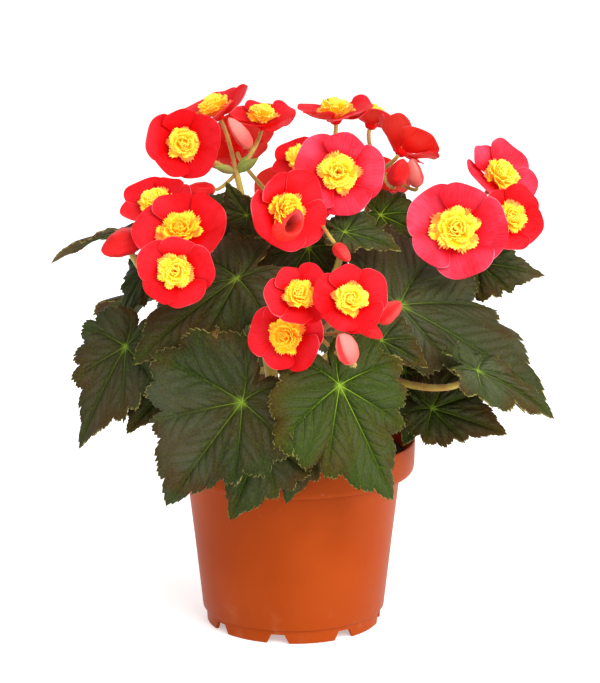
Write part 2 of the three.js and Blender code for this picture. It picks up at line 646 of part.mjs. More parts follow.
// Buds: two petals pressed face to face, in the bud's own frame with +Z along it.
function budGeometry(length, width) {
  const profile = BUD_PROFILE.map(([r, z]) => new THREE.Vector2(r * width, z * length));
  const geometry = new THREE.LatheGeometry(profile, BUD_SIDES);
  geometry.rotateX(Math.PI / 2);
  geometry.scale(1, BUD_FLATNESS, 1);
  return geometry;
}

// Shoots: stem, flower stalks, leaf stalks and blades in one solid

// A small scale-like leaf that stands where the flower stalks part.
function bract(base, tip) {
  const along = tip.clone().sub(base);
  const profile = BRACT_PROFILE.map(([r, z]) => new THREE.Vector2(r * BRACT_WIDTH, z * along.length()));
  const geometry = new THREE.LatheGeometry(profile, BRACT_SIDES);
  geometry.rotateX(Math.PI / 2);
  geometry.scale(1, BRACT_FLATNESS, 1);
  geometry.applyQuaternion(new THREE.Quaternion().setFromUnitVectors(UP, along.normalize()));
  geometry.translate(base.x, base.y, base.z);
  return solidOf(geometry);
}

const pedicel = (path) => stalk(path, PEDICEL_RADIUS, PEDICEL_SIDES, PEDICEL_STEPS);

function makeShoot(name) {
  const shoot = SHOOTS[name];
  const spray = point(shoot.spray);
  const fork = point(shoot.fork);
  const low = fork.clone().setZ(fork.z - STEM_RADIUS);
  const rising = new THREE.Vector3(fork.x, fork.y, 0).lerp(spray, PEDUNCLE_BOW).setZ((fork.z + spray.z) / 2);
  const peduncle = new THREE.QuadraticBezierCurve3(low, rising, spray);
  const pieces = [
    stalk(stemPath(shoot), STEM_RADIUS, STEM_SIDES, STEM_STEPS),
    stalk(peduncle, PEDUNCLE_RADIUS, PEDUNCLE_SIDES, PEDUNCLE_STEPS),
  ];
  for (const leaf of LEAVES[name]) {
    const axes = leafAxes(leaf);
    pieces.push(leafBlade(leaf, axes), petiole(shoot, leaf, axes));
  }
  for (const bloom of Object.values(BLOOMS[name])) {
    const facing = point(bloom.faces).normalize();
    const end = bloomBase(bloom).addScaledVector(facing, -RECEPTACLE_DEPTH - GAP);
    pieces.push(pedicel(arrival(spray, end, facing, BLOOM_ARRIVAL)));
  }
  for (const bud of Object.values(BUDS[name])) {
    const direction = point(bud.tip).sub(point(bud.base)).normalize();
    const end = point(bud.base).addScaledVector(direction, -GAP);
    pieces.push(pedicel(arrival(spray, end, direction, BUD_ARRIVAL)));
  }
  shoot.bracts.forEach((tip) => pieces.push(bract(spray, point(tip))));
  return joined(pieces);
}

// The whole plant

const finish = (color, roughness) => new THREE.MeshStandardMaterial({ color, roughness, metalness: 0 });
const TERRACOTTA = finish("#c2491d", 0.5);
const SOIL = finish("#3a2a20", 0.95);
const LEAF_GREEN = finish("#2f4422", 0.45);
const PETAL_RED = finish("#e8262f", 0.5);
const CENTRE_YELLOW = finish("#ffd81a", 0.55);
const BUD_RED = finish("#e2433c", 0.5);

const plant = new THREE.Group();

function add(name, geometry, material, holder = plant) {
  const shown = geometry.toNonIndexed();
  shown.computeVertexNormals();
  const mesh = new THREE.Mesh(shown, material);
  mesh.name = name;
  holder.add(mesh);
}

// A group whose +Z looks the given way from the given place.
function facingGroup(place, direction, spin) {
  const group = new THREE.Group();
  group.up.copy(UP);
  group.position.copy(place);
  group.lookAt(place.clone().add(direction));
  group.rotateZ(radians(spin));
  plant.add(group);
  return group;
}

add("pot", geometryOf(makePot()), TERRACOTTA);
add("soil", geometryOf(makeSoil()), SOIL);
for (const name of Object.keys(SHOOTS)) {
  add("shoot_" + name, geometryOf(makeShoot(name)), LEAF_GREEN);
  for (const [key, bloom] of Object.entries(BLOOMS[name])) {
    const group = facingGroup(bloomBase(bloom), point(bloom.faces), bloom.spin);
    add("petals_" + key, petalsGeometry(bloom), PETAL_RED, group);
    add("centre_" + key, centreGeometry(bloom), CENTRE_YELLOW, group);
  }
  for (const [key, { base, tip, width }] of Object.entries(BUDS[name])) {
    const along = point(tip).sub(point(base));
    add("bud_" + key, budGeometry(along.length(), width), BUD_RED, facingGroup(point(base), along, 0));
  }
}

export default plant;
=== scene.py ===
# %% [markdown]
# # A begonia in bloom in its nursery pot
#
# The plant has seven leafy shoots that stand in peat, in a terracotta-coloured plastic pot. Its blooms are
# double: broad red petals outside, and a tight yellow ruffle of small petals in the middle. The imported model
# holds every piece with few faces, as a body. This script gives each piece the surface that the eye expects.
# Lengths are written in millimetres, as on a maker's drawing, and MM turns them into Blender's metres. Only
# the lamps and the floor are given in metres.

# %% The frame
import math
import bpy
import numpy as np
from mathutils import Matrix, Vector


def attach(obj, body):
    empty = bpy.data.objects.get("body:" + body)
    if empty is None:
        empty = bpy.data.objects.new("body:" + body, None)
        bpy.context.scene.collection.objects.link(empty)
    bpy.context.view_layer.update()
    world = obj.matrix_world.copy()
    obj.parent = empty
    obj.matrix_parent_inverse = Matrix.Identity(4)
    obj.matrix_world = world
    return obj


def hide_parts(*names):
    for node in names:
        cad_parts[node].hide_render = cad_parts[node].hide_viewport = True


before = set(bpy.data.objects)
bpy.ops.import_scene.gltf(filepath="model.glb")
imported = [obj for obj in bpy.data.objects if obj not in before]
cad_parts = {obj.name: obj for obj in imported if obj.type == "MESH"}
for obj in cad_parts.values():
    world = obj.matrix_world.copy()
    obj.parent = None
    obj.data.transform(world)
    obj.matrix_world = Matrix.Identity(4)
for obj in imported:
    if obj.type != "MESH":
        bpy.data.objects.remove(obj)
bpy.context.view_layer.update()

MM = 0.001
print("frame loaded,", len(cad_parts), "nodes")

# %% [markdown]
# ## Small helpers
#
# Operators act on whatever is selected, so each step first selects just what it works on. A mesh's points
# are easier to shape all at once, as one array, than one by one.

# %% Helpers for selecting, shaping and finishing pieces


def select_only(*objects):
    bpy.ops.object.select_all(action="DESELECT")
    for obj in objects:
        obj.select_set(True)
    bpy.context.view_layer.objects.active = objects[0]


def points_of(mesh):
    flat = np.empty(len(mesh.vertices) * 3)
    mesh.vertices.foreach_get("co", flat)
    return flat.reshape(-1, 3) / MM


def set_points(mesh, points):
    mesh.vertices.foreach_set("co", (np.asarray(points) * MM).ravel())
    mesh.update()


def set_values(mesh, **values):
    """Stores numbers for each point, which a material can read by their names."""
    for name, value in values.items():
        attribute = mesh.attributes.get(name) or mesh.attributes.new(name, "FLOAT", "POINT")
        attribute.data.foreach_set("value", np.broadcast_to(value, len(mesh.vertices)).astype(np.float32))


def new_object(name, mesh):
    obj = bpy.data.objects.new(name, mesh)
    bpy.context.collection.objects.link(obj)
    return obj


def added(operator, **settings):
    """Adds a primitive with nothing else selected, and returns it."""
    bpy.ops.object.select_all(action="DESELECT")
    operator(**settings)
    return bpy.context.object


def join(name, objects):
    select_only(*objects)
    if len(objects) > 1:
        bpy.ops.object.join()
    joined = bpy.context.object
    joined.name = joined.data.name = name
    return joined


def apply_modifier(obj, kind, **settings):
    select_only(obj)
    modifier = obj.modifiers.new(kind.lower(), kind)
    for key, value in settings.items():
        setattr(modifier, key, value)
    bpy.ops.object.modifier_apply(modifier=modifier.name)


def shade_smooth(obj, degrees=None):
    select_only(obj)
    if degrees is None:
        bpy.ops.object.shade_smooth()
    else:
        bpy.ops.object.shade_smooth_by_angle(angle=math.radians(degrees))


def coat(obj, *finishes):
    """Gives a piece its finishes, in the order of its slots."""
    obj.data.materials.clear()
    for finish in finishes:
        obj.data.materials.append(finish.material)


def thicken(obj, face, back, thickness, offset=0):
    """Makes a thin sheet a body with one finish on its face and another on its back."""
    coat(obj, face, back)
    apply_modifier(obj, "SOLIDIFY", thickness=thickness * MM, offset=offset, material_offset=1)


def part_of_plant(obj, slot, *nodes):
    """The piece rides on the plant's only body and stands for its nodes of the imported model."""
    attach(obj, "root")
    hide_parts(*nodes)


def unit(vector):
    return np.asarray(vector, float) / np.linalg.norm(vector)


def units(rows):
    """Each row as a vector of length 1."""
    return rows / np.linalg.norm(rows, axis=1)[:, None]


def ease(values, low, high):
    """0 below low, 1 above high, and a soft slope between them."""
    share = np.clip((np.asarray(values, float) - low) / (high - low), 0, 1)
    return share * share * (3 - 2 * share)


# %% [markdown]
# ## Materials as sums
#
# A material is worked out over the surface: how far a point is from a vein, how near it is to the edge, and
# so on. Written with nodes alone that is hard to read. The class below wraps a node's output, so that plain
# sums in Python add the Math nodes.

# %% A small language for materials


class Field:
    """A number or colour that changes over the surface."""

    def __init__(self, finish, socket):
        self.finish = finish
        self.socket = socket

    def _math(self, operation, first, second=None):
        inputs = {0: first} if second is None else {0: first, 1: second}
        return self.finish.node("ShaderNodeMath", {"operation": operation}, inputs)

    def __add__(self, other):
        return self._math("ADD", self, other)

    def __sub__(self, other):
        return self._math("SUBTRACT", self, other)

    def __rsub__(self, other):
        return self._math("SUBTRACT", other, self)

    def __mul__(self, other):
        return self._math("MULTIPLY", self, other)

    def __truediv__(self, other):
        return self._math("DIVIDE", self, other)

    __radd__ = __add__
    __rmul__ = __mul__

    def fraction(self):
        return self._math("FRACT", self)

    def size(self):
        return self._math("ABSOLUTE", self)

    def between(self, low, high):
        """0 at low, 1 at high, eased."""
        inputs = {"Value": self, "From Min": low, "From Max": high}
        return self.finish.node("ShaderNodeMapRange", {"interpolation_type": "SMOOTHSTEP"}, inputs)


def linear(code):
    """A colour as the eye names it, in the numbers that light is reckoned with."""
    parts = [int(code[i : i + 2], 16) / 255 for i in (1, 3, 5)]
    return tuple(c / 12.92 if c <= 0.04045 else ((c + 0.055) / 1.055) ** 2.4 for c in parts) + (1.0,)


class Finish:
    """One material."""

    def __init__(self, name, **sockets):
        self.material = bpy.data.materials.new(name)
        self.material.use_nodes = True
        self.tree = self.material.node_tree
        self.shader = self.tree.nodes["Principled BSDF"]
        self.wire(self.shader, sockets)

    def wire(self, node, values):
        for key, value in values.items():
            socket = node.inputs[key.replace("_", " ") if isinstance(key, str) else key]
            if isinstance(value, Field):
                self.tree.links.new(value.socket, socket)
            else:
                socket.default_value = linear(value) if isinstance(value, str) else value

    def node(self, kind, settings=None, values=None, output=0):
        made = self.tree.nodes.new(kind)
        for key, value in (settings or {}).items():
            setattr(made, key, value)
        self.wire(made, values or {})
        return Field(self, made.outputs[output])

    def set(self, **values):
        self.wire(self.shader, values)

    def stored(self, name):
        return self.node("ShaderNodeAttribute", {"attribute_name": name}, output="Fac")

    def place(self):
        return self.node("ShaderNodeTexCoord", output="Object")

    def noise(self, scale, detail=3.0, vector=None):
        values = {"Vector": vector or self.place(), "Scale": scale, "Detail": detail}
        return self.node("ShaderNodeTexNoise", None, values)

    def vector(self, x, y, z):
        return self.node("ShaderNodeCombineXYZ", None, {"X": x, "Y": y, "Z": z})

    def mix(self, share, first, second):
        """The first colour where share is 0, the second where it is 1."""
        values = {"Factor": share, 6: first, 7: second}
        return self.node("ShaderNodeMix", {"data_type": "RGBA"}, values, output=2)

    def layers(self, tone, *coats):
        """Lays colours over the first. Each coat is how much of it shows, and its colour."""
        for share, colour in coats:
            tone = self.mix(share, tone, colour)
        return tone

    def bump(self, height, strength, distance):
        values = {"Height": height, "Strength": strength, "Distance": distance * MM}
        self.set(Normal=self.node("ShaderNodeBump", None, values))


print("helpers ready")

# %% [markdown]
# ## Camera, light and floor
#
# The picture is taken from 1.25 m away with a long lens, a little from above, as catalogue pictures of
# potted plants are. A long lens keeps the near blooms from looking too big. The light is one large soft box
# in front, weaker ones from the right and from behind, and a white surround that fills the shadows. The
# Standard view keeps strong reds and yellows as they are, where the usual one would wash them out.

# %% Camera
CAMERA_PLACE = (3.5, -1250, 422)
CAMERA_PITCH = 12.18
CAMERA_LENS = 127.3
CAMERA_SENSOR = 36

camera_data = bpy.data.cameras.new("camera")
camera_data.lens = CAMERA_LENS
camera_data.sensor_width = CAMERA_SENSOR
camera = new_object("camera", camera_data)
camera.location = Vector(CAMERA_PLACE) * MM
camera.rotation_euler = (math.radians(90 - CAMERA_PITCH), 0, 0)
bpy.context.scene.camera = camera
print("camera at", [round(x, 3) for x in camera.location])

# %% Light
# Each soft box: name, place, the point that it faces, size and power.
SOFT_BOXES = [
    ("key_light", (0.75, -1.4, 1.3), (0, 0, 0.17), 1.1, 31),
    ("side_light", (1.5, -0.5, 0.7), (0, 0, 0.12), 0.7, 9),
    ("back_light", (-0.4, 1.5, 1.4), (0, 0, 0.2), 1.0, 9),
]
SURROUND_STRENGTH = 0.75

for name, place, aim, size, power in SOFT_BOXES:
    lamp_data = bpy.data.lights.new(name, "AREA")
    lamp_data.size = size
    lamp_data.energy = power
    lamp = new_object(name, lamp_data)
    lamp.location = place
    lamp.rotation_euler = (Vector(aim) - Vector(place)).to_track_quat("-Z", "Y").to_euler()

world = bpy.context.scene.world or bpy.data.worlds.new("surround")
bpy.context.scene.world = world
world.use_nodes = True
surround = world.node_tree.nodes["Background"]
surround.inputs["Color"].default_value = (1, 1, 1, 1)
surround.inputs["Strength"].default_value = SURROUND_STRENGTH
bpy.context.scene.view_settings.view_transform = "Standard"
print(len(SOFT_BOXES), "soft boxes and a white surround")

# %% [markdown]
# The floor is a wide sheet of white paper. It only carries the soft shadow at the pot's foot.

# %% Floor
FLOOR_SIZE = 24
floor = added(bpy.ops.mesh.primitive_plane_add, size=FLOOR_SIZE)
floor.name = "floor"
coat(floor, Finish("white_paper", Base_Color=(0.9, 0.9, 0.9, 1), Roughness=0.9, Emission_Strength=0.4))
print("floor", [round(x, 1) for x in floor.dimensions])

# %% [markdown]
# ## The pot
#
# A nursery pot is moulded in one piece from thin polypropylene. A tall rim band stands proud of a slightly
# tapered body, and the body ends in a foot ring with notches that let water out. It could be turned with the
# Spin operator, but growing it from a disc is closer to how its wall runs: the disc is extruded again and
# again, each time moved and resized to the next point of the profile, up the outside, over the rim and down
# the inside. The last face becomes the floor, so the shell is closed from the start.

# %% A shell grown from a disc


def grow_shell(name, profile, sides):
    """Grows a closed round body: its underside is the first point of the profile, its last face the last."""
    radius, height = profile[0]
    obj = added(bpy.ops.mesh.primitive_circle_add, vertices=sides, radius=radius * MM, fill_type="NGON")
    obj.name = obj.data.name = name
    bpy.ops.object.mode_set(mode="EDIT")
    bpy.ops.mesh.select_all(action="SELECT")
    bpy.ops.transform.translate(value=(0, 0, height * MM))
    for next_radius, next_height in profile[1:]:
        step = (0, 0, (next_height - height) * MM)
        bpy.ops.mesh.extrude_region_move(TRANSFORM_OT_translate={"value": step})
        scale = next_radius / radius
        bpy.ops.transform.resize(value=(scale, scale, 1), center_override=(0, 0, next_height * MM))
        radius, height = next_radius, next_height
    bpy.ops.mesh.select_all(action="SELECT")
    bpy.ops.mesh.normals_make_consistent(inside=False)
    bpy.ops.object.mode_set(mode="OBJECT")
    return obj


POT_SIDES = 128
POT_PROFILE = [
    (15, 0), (18, 5), (44.7, 5), (44.7, 0.4), (45.1, 0), (46.3, 0), (46.7, 0.4), (47.0, 6.9),
    (47.2, 7.4), (48.4, 7.7), (48.9, 8.4), (52.9, 45), (57.1, 81.2), (57.5, 82), (58.4, 82.3), (62.3, 82.9),
    (63.6, 83.5), (64.3, 84.6), (64.7, 86.6), (65.0, 98.9), (64.8, 99.7), (64.3, 100), (63.9, 99.8),
    (63.7, 99.2), (63.4, 87.2), (62.2, 85.4), (56.3, 83.6), (55.9, 82.6), (51.4, 45), (47.1, 7.9),
    (46.4, 7.6), (16.7, 6.3), (13.7, 1.3),
]
pot = grow_shell("pot", POT_PROFILE, POT_SIDES)
print("pot shell:", len(pot.data.polygons), "faces")

# %% [markdown]
# The notches in the foot ring and the drain holes in the floor are cut with one set of cutters. The first
# cutter is a cube whose top is drawn in, because the real notches are trapezoids. Its copies are turned
# round the pot's axis, and a Boolean modifier takes them all away at once.

# %% Notches and drain holes
NOTCHES = 8
NOTCH_WIDTH = 12
NOTCH_TOP = 7
NOTCH_HEIGHT = 5
NOTCH_DEPTH = 10
FIRST_NOTCH = -10
FOOT_RADIUS = 46
DRAIN_RING = 31
DRAIN_RADIUS = 4
DRAIN_DEPTH = 12

notch = added(bpy.ops.mesh.primitive_cube_add, size=MM)
bpy.ops.object.mode_set(mode="EDIT")
bpy.ops.mesh.select_all(action="SELECT")
bpy.ops.transform.resize(value=(NOTCH_WIDTH, NOTCH_DEPTH, 2 * NOTCH_HEIGHT), center_override=(0, 0, 0))
bpy.ops.transform.translate(value=(0, -FOOT_RADIUS * MM, 0))
bpy.ops.object.mode_set(mode="OBJECT")
corners = points_of(notch.data)
corners[corners[:, 2] > 0, 0] *= NOTCH_TOP / NOTCH_WIDTH
corners[corners[:, 2] < 0, 0] *= 2 - NOTCH_TOP / NOTCH_WIDTH
set_points(notch.data, corners)
drain = added(
    bpy.ops.mesh.primitive_cylinder_add, vertices=20, radius=DRAIN_RADIUS * MM, depth=DRAIN_DEPTH * MM
)
drain.data.transform(Matrix.Translation((DRAIN_RING * MM, 0, 5 * MM)))
cutters = []
for number in range(NOTCHES):
    turn = Matrix.Rotation(math.radians(FIRST_NOTCH + 360 / NOTCHES * number), 4, "Z")
    for source in (notch, drain):
        mesh = source.data.copy()
        mesh.transform(turn)
        cutters.append(new_object("cutter", mesh))
cutter = join("cutters", cutters)
apply_modifier(pot, "BOOLEAN", operation="DIFFERENCE", solver="EXACT", object=cutter)
for spare in (cutter, notch, drain):
    bpy.data.objects.remove(spare)
shade_smooth(pot, degrees=32)
print("pot cut:", len(pot.data.polygons), "faces")

# %% [markdown]
# The plastic is dyed through, satin, and a little uneven where it cooled. Fine scuffs break its gloss, the
# foot is dustier than the rim, and splashes of lime dry as faint pale spots near the soil. A thin dark line of
# painted shade runs along the crease under the rim band.

# %% Terracotta plastic
CREASE_HEIGHT = 82.2
plastic = Finish("terracotta_plastic", Specular_IOR_Level=0.05)
height = plastic.node("ShaderNodeSeparateXYZ", None, {"Vector": plastic.place()}, output="Z") / MM
cloud = plastic.noise(14, 4)
dust = plastic.noise(90, 5).between(0.52, 0.72) * (1 - height.between(2, 30)) * 0.14
spots = plastic.noise(420, 2).between(0.66, 0.72) * height.between(60, 98) * 0.1
# Painted shade: a dark line along the crease where the rim band meets the body.
crease_shade = (1 - (height - CREASE_HEIGHT).size().between(0.0, 1.6)) * 0.4
tone = plastic.layers(
    "#943808",
    (cloud.between(0.35, 0.65), "#a0400e"),
    (dust, "#c08a68"),
    (spots, "#d8b49c"),
    (crease_shade, "#7c2f10"),
)
plastic.set(Base_Color=tone, Roughness=0.36 + 0.12 * cloud + 0.2 * dust)
scuffs = plastic.noise(900, 2) * 0.3 + plastic.noise(70, 2)
plastic.bump(scuffs, 0.12, 0.25)
coat(pot, plastic)
part_of_plant(pot, "terracotta_plastic", "pot")

# %% [markdown]
# ## Where everything grows
#
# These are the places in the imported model, in millimetres. A leaf's hub is where its stalk and its main
# veins meet, and a bloom's centre lies in its ruffle.

# %% Places
# Each shoot: where it leaves the soil, where it forks, where its flower stalks part, and its bracts' tips.
SHOOTS = {
    "left": ((-17, -3), (-32, -2, 150), (-57, -4, 213), []),
    "front": ((2, -19), (4, -34, 132), (12, -76, 172), []),
    "right": ((18, -5), (38, -12, 142), (92, -6, 210), []),
    "top_left": ((-9, 12), (-16, 14, 160), (-30, 14, 240), [(-42, 6, 245), (-18, 9, 249), (-21, 16, 251)]),
    "centre": ((3, 0), (4, -2, 160), (10, -12, 226), []),
    "top_right": ((14, 14), (26, 18, 158), (46, 24, 240), []),
    "back": ((0, 24), (-2, 40, 148), (0, 62, 208), []),
}
# Each leaf: how far up the stem its stalk starts, hub, tip, facing and the side of its broad half. Where it
# isn't folded as usual, three more: how steeply its broad half and its narrow half rise from the midrib,
# and how wide the narrow half and the broad half are.
USUAL_FOLD = (0.1, 0.1, (1, 1))
LEAVES = {
    "left": [
        (0.8, (-86, -39, 158), (-115, -48, 108), (-0.5, -0.8, 0.2), 1, 0.4, 0.1, (1, 1)),
        (0.95, (-90, 8, 210), (-129, 0, 202), (-0.25, 0.22, 0.94), 1),
        (0.9, (-76, 4, 192), (-96, -6, 164), (-0.5, -0.4, 0.75), 1),
        (0.6, (-60, -42, 142), (-86, -56, 118), (-0.4, -0.9, 0.2), -1),
        (0.7, (-74, 42, 172), (-118, 66, 140), (-0.5, 0.4, 0.8), 1),
    ],
    "front": [
        (0.7, (-25, -94, 142), (-68, -85, 83), (-0.1, -0.95, 0.25), -1, 0.1, 0.1, (1, 1.08)),
        (0.6, (23, -96, 151), (54, -83, 85), (0.1, -0.9, 0.3), -1, 0.1, 0.1, (0.9, 0.92)),
        (0.4, (-16, -78, 119), (-33, -79, 75), (0, -0.95, 0.3), 1),
        (0.3, (8, -76, 118), (-4, -78, 84), (0, -0.95, 0.3), -1),
    ],
    "right": [
        (0.7, (44, -75, 169), (68, -80, 158), (0.1, -0.8, 0.6), 1),
        (0.95, (54, -46, 181), (137, -42, 139), (0.15, -0.5, 0.85), 1, 0.1, -0.6, (0.55, 1)),
        (0.8, (84, -10, 142), (58, -34, 106), (0.1, -0.85, 0.5), -1, 0.1, 0.1, (1, 1.1)),
        (0.9, (98, 16, 192), (134, 12, 188), (0.2, -0.8, 0.5), -1),
        (0.95, (93, -64, 151), (139, -50, 129), (0.5, -0.4, 0.75), 1, 0.1, 0.1, (1, 0.5)),
        (0.4, (58, -16, 140), (46, -30, 112), (0.1, -0.95, 0.3), 1),
        (0.4, (72, -34, 124), (112, -38, 113), (0.1, -0.85, 0.5), 1),
    ],
    "top_left": [
        (0.95, (9, 22, 230), (-2, 30, 256), (-0.2, -0.9, 0.3), 1),
        (0.9, (-24, -20, 223), (-34, -30, 240), (-0.3, -0.9, 0.3), 1),
        (0.8, (-48, 58, 195), (-76, 96, 170), (-0.4, 0.5, 0.8), -1),
        (0.9, (-28, -3, 221), (-35, -24, 193), (-0.1, -0.75, 0.65), -1),
    ],
    "centre": [
        (0.8, (-28, -57, 197), (-84, -74, 163), (-0.3, -0.6, 0.74), -1, -0.07, 0.1, (1.1, 0.9)),
        (0.95, (26, -42, 218), (55, -50, 213), (0.1, -0.5, 0.85), 1),
        (0.9, (8, -17, 206), (12, -30, 162), (0, -0.95, 0.3), -1),
    ],
    "top_right": [
        (0.95, (46, 12, 218), (73, 4, 208), (0.2, -0.7, 0.6), 1),
        (0.8, (64, 56, 192), (104, 84, 164), (0.5, 0.4, 0.8), 1),
    ],
    "back": [
        (0.4, (-22, 92, 146), (-30, 112, 92), (-0.2, 0.9, 0.5), 1),
        (0.5, (34, 94, 142), (48, 112, 90), (0.2, 0.9, 0.5), -1),
        (0.7, (76, 66, 142), (112, 88, 108), (0.7, 0.5, 0.6), 1),
        (0.6, (-66, 72, 138), (-98, 94, 100), (-0.7, 0.6, 0.5), -1),
        (0.9, (4, 66, 196), (8, 108, 172), (0, 0.6, 0.8), 1),
    ],
}
# Each bloom: centre, facing, radius, how far its petals stand up, and turn in degrees.
BLOOMS = {
    "left": {
        "e1": ((-71, -11, 228), (-0.3, -0.55, 0.8), 20, 0.1, 0),
        "e2": ((-57, -48, 219), (-0.1, -0.72, 0.68), 24, 0.1, 30),
        "e3": ((-58, -76, 204), (-0.05, -0.97, 0.2), 19, 0.1, 10),
    },
    "front": {
        "f1": ((3, -116, 200), (0.05, -0.86, 0.5), 16.5, 0.1, 42),
        "f2": ((27, -123, 199), (0.1, -0.9, 0.4), 18, 0.22, 20),
        "f3": ((-3, -105, 178), (-0.3, -0.93, 0.1), 19, 0.12, 31),
    },
    "right": {
        "d1": ((83, -34, 218), (-0.05, -0.95, 0.3), 26, 0.08, 0),
        "d2": ((109, 16, 238), (0.5, -0.55, 0.67), 22, 0.1, 36),
        "d3": ((112, -18, 221), (0.3, -0.85, 0.35), 18.5, 0.1, 50),
    },
    "top_left": {
        "a1": ((-58, 12, 256), (0.15, -0.95, 0.15), 20, 0.3, 20),
        "a2": ((-42, 32, 272), (-0.45, -0.2, 0.85), 21, 0.1, 50),
        "a3": ((-17, 40, 267), (0.05, -0.3, 0.93), 18, 0.1, 10),
    },
    "centre": {
        "b1": ((22, 12, 273), (-0.05, -0.12, 0.99), 20, 0.1, 30),
        "b2": ((23, -28, 246), (0, -0.93, 0.35), 23, 0.1, 0),
        "b3": ((-4, -50, 230), (0.55, -0.82, 0.15), 22, 0.2, 40),
        "b4": ((3, 6, 249), (-0.4, -0.6, 0.7), 16, 0.1, 0),
    },
    "top_right": {
        "c1": ((43, 45, 266), (0.3, 0.15, 0.94), 17, 0.25, 0),
        "c2": ((59, 13, 255), (0.55, 0.45, 0.7), 20, 0.3, 20),
    },
    "back": {
        "g1": ((-32, 62, 249), (-0.2, 0.8, 0.55), 22, 0.1, 0),
        "g2": ((2, 92, 214), (0.05, 0.9, 0.4), 24, 0.1, 20),
        "g3": ((42, 74, 228), (0.3, 0.7, 0.6), 22, 0.1, 40),
    },
}
ROSE_BLOOMS = ("b2", "d1", "d2")
# Each bud: base, tip and width.
BUDS = {
    "left": {
        "e": ((-77, -34, 215), (-97, -44, 208), 19),
    },
    "front": {
        "f1": ((29, -128, 170), (22, -137, 185), 13),
        "f2": ((31, -112, 186), (43, -116, 179), 10),
        "f3": ((41, -106, 185), (52, -110, 195), 13),
    },
    "right": {},
    "top_left": {
        "a": ((-22, 14, 253), (-34, 8, 270), 9),
        "a_low": ((-41, 16, 231), (-57, 10, 232), 11),
    },
    "centre": {
        "b": ((21, -59, 215), (28, -65, 207), 9),
    },
    "top_right": {
        "c": ((53, 2, 235), (57, -4, 250), 13),
        "c_pale": ((65, 9, 233), (62, 4, 249), 10),
    },
    "back": {},
}
ALL_BLOOMS = {key: bloom for blooms in BLOOMS.values() for key, bloom in blooms.items()}
print(sum(map(len, LEAVES.values())), "leaves,", len(ALL_BLOOMS), "blooms")

# %% [markdown]
# ## The soil
#
# Peat fills the pot to a finger's width under the rim. It is grown from a disc as the pot is, with many
# rings across its top, so that the top can be roughened. Crumbs of peat and a few grains of white perlite
# lie on it.

# %% Peat
SOIL_LEVEL = 90
SOIL_SIDES = 120
SOIL_RINGS = 40
SOIL_TOP = [(radius, SOIL_LEVEL) for radius in np.linspace(61.6, 1.6, SOIL_RINGS)]
SOIL_PROFILE = [(13.3, 1.7), (16.3, 6.7), (46.3, 8.2), (55.1, 82), (55.1, 84.4), (60.2, 86.4), *SOIL_TOP]
soil = grow_shell("soil", SOIL_PROFILE, SOIL_SIDES)


def soil_height(x, y):
    broad = np.sin(0.31 * x + 1.3) * np.cos(0.27 * y)
    fine = 0.4 * np.sin(0.55 * (x + y))
    grain = 0.5 * np.sin(1.9 * x + 2.3 * np.sin(0.8 * y)) * np.sin(2.1 * y + 1.7 * np.sin(0.9 * x))
    heap = sum(1.6 * np.exp(-((x - a) ** 2 + (y - b) ** 2) / 60) for (a, b), *_ in SHOOTS.values())
    return SOIL_LEVEL + 1.4 * (broad + fine) + grain + heap


top = points_of(soil.data)
surface = top[:, 2] > SOIL_LEVEL - 0.1
top[surface, 2] = soil_height(top[surface, 0], top[surface, 1])
set_points(soil.data, top)
shade_smooth(soil)
print("soil:", len(soil.data.polygons), "faces")

# %% [markdown]
# A crumb is a small ball of few faces with its points pushed in and out. Each copy gets its own size and
# turn from one fixed row of random numbers, so that the script makes the same soil each time.

# %% Crumbs
CRUMBS = 420
GRAINS = CRUMBS // 9
CRUMB_RING = 60
chance = np.random.default_rng(7)
crumb = added(bpy.ops.mesh.primitive_uv_sphere_add, segments=8, ring_count=5, radius=MM)
ball = points_of(crumb.data)
dents = 0.28 * np.sin(4.1 * ball[:, 0] + 1) * np.sin(3.7 * ball[:, 1])
ball *= (1 + dents + 0.15 * np.sin(6 * ball[:, 2]))[:, None]
faces = [np.array(p.vertices[:]) for p in crumb.data.polygons]
bpy.data.objects.remove(crumb)


def scatter_crumbs(name, count, smallest, largest):
    points = []
    for _ in range(count):
        radius = CRUMB_RING * math.sqrt(chance.random())
        angle = 2 * math.pi * chance.random()
        x, y = radius * math.cos(angle), radius * math.sin(angle)
        turn = np.array(Matrix.Rotation(6.3 * chance.random(), 3, chance.normal(size=3)))
        size = (smallest + (largest - smallest) * chance.random() ** 2) * chance.uniform(0.7, 1.2, 3)
        points.append(ball @ turn * size + [x, y, soil_height(x, y) + 0.3 * size[2]])
    mesh = bpy.data.meshes.new(name)
    all_faces = [(face + i * len(ball)).tolist() for i in range(len(points)) for face in faces]
    mesh.from_pydata((np.concatenate(points) * MM).tolist(), [], all_faces)
    return new_object(name, mesh)


peat_crumbs = scatter_crumbs("peat_crumbs", CRUMBS, 0.5, 2.2)
perlite = scatter_crumbs("perlite", GRAINS, 0.6, 1.5)
for obj in (peat_crumbs, perlite):
    shade_smooth(obj, degrees=40)
print("crumbs:", CRUMBS, "and grains of perlite:", GRAINS)

# %% [markdown]
# Moist peat is nearly black-brown with rusty fibres. Perlite is dull white.

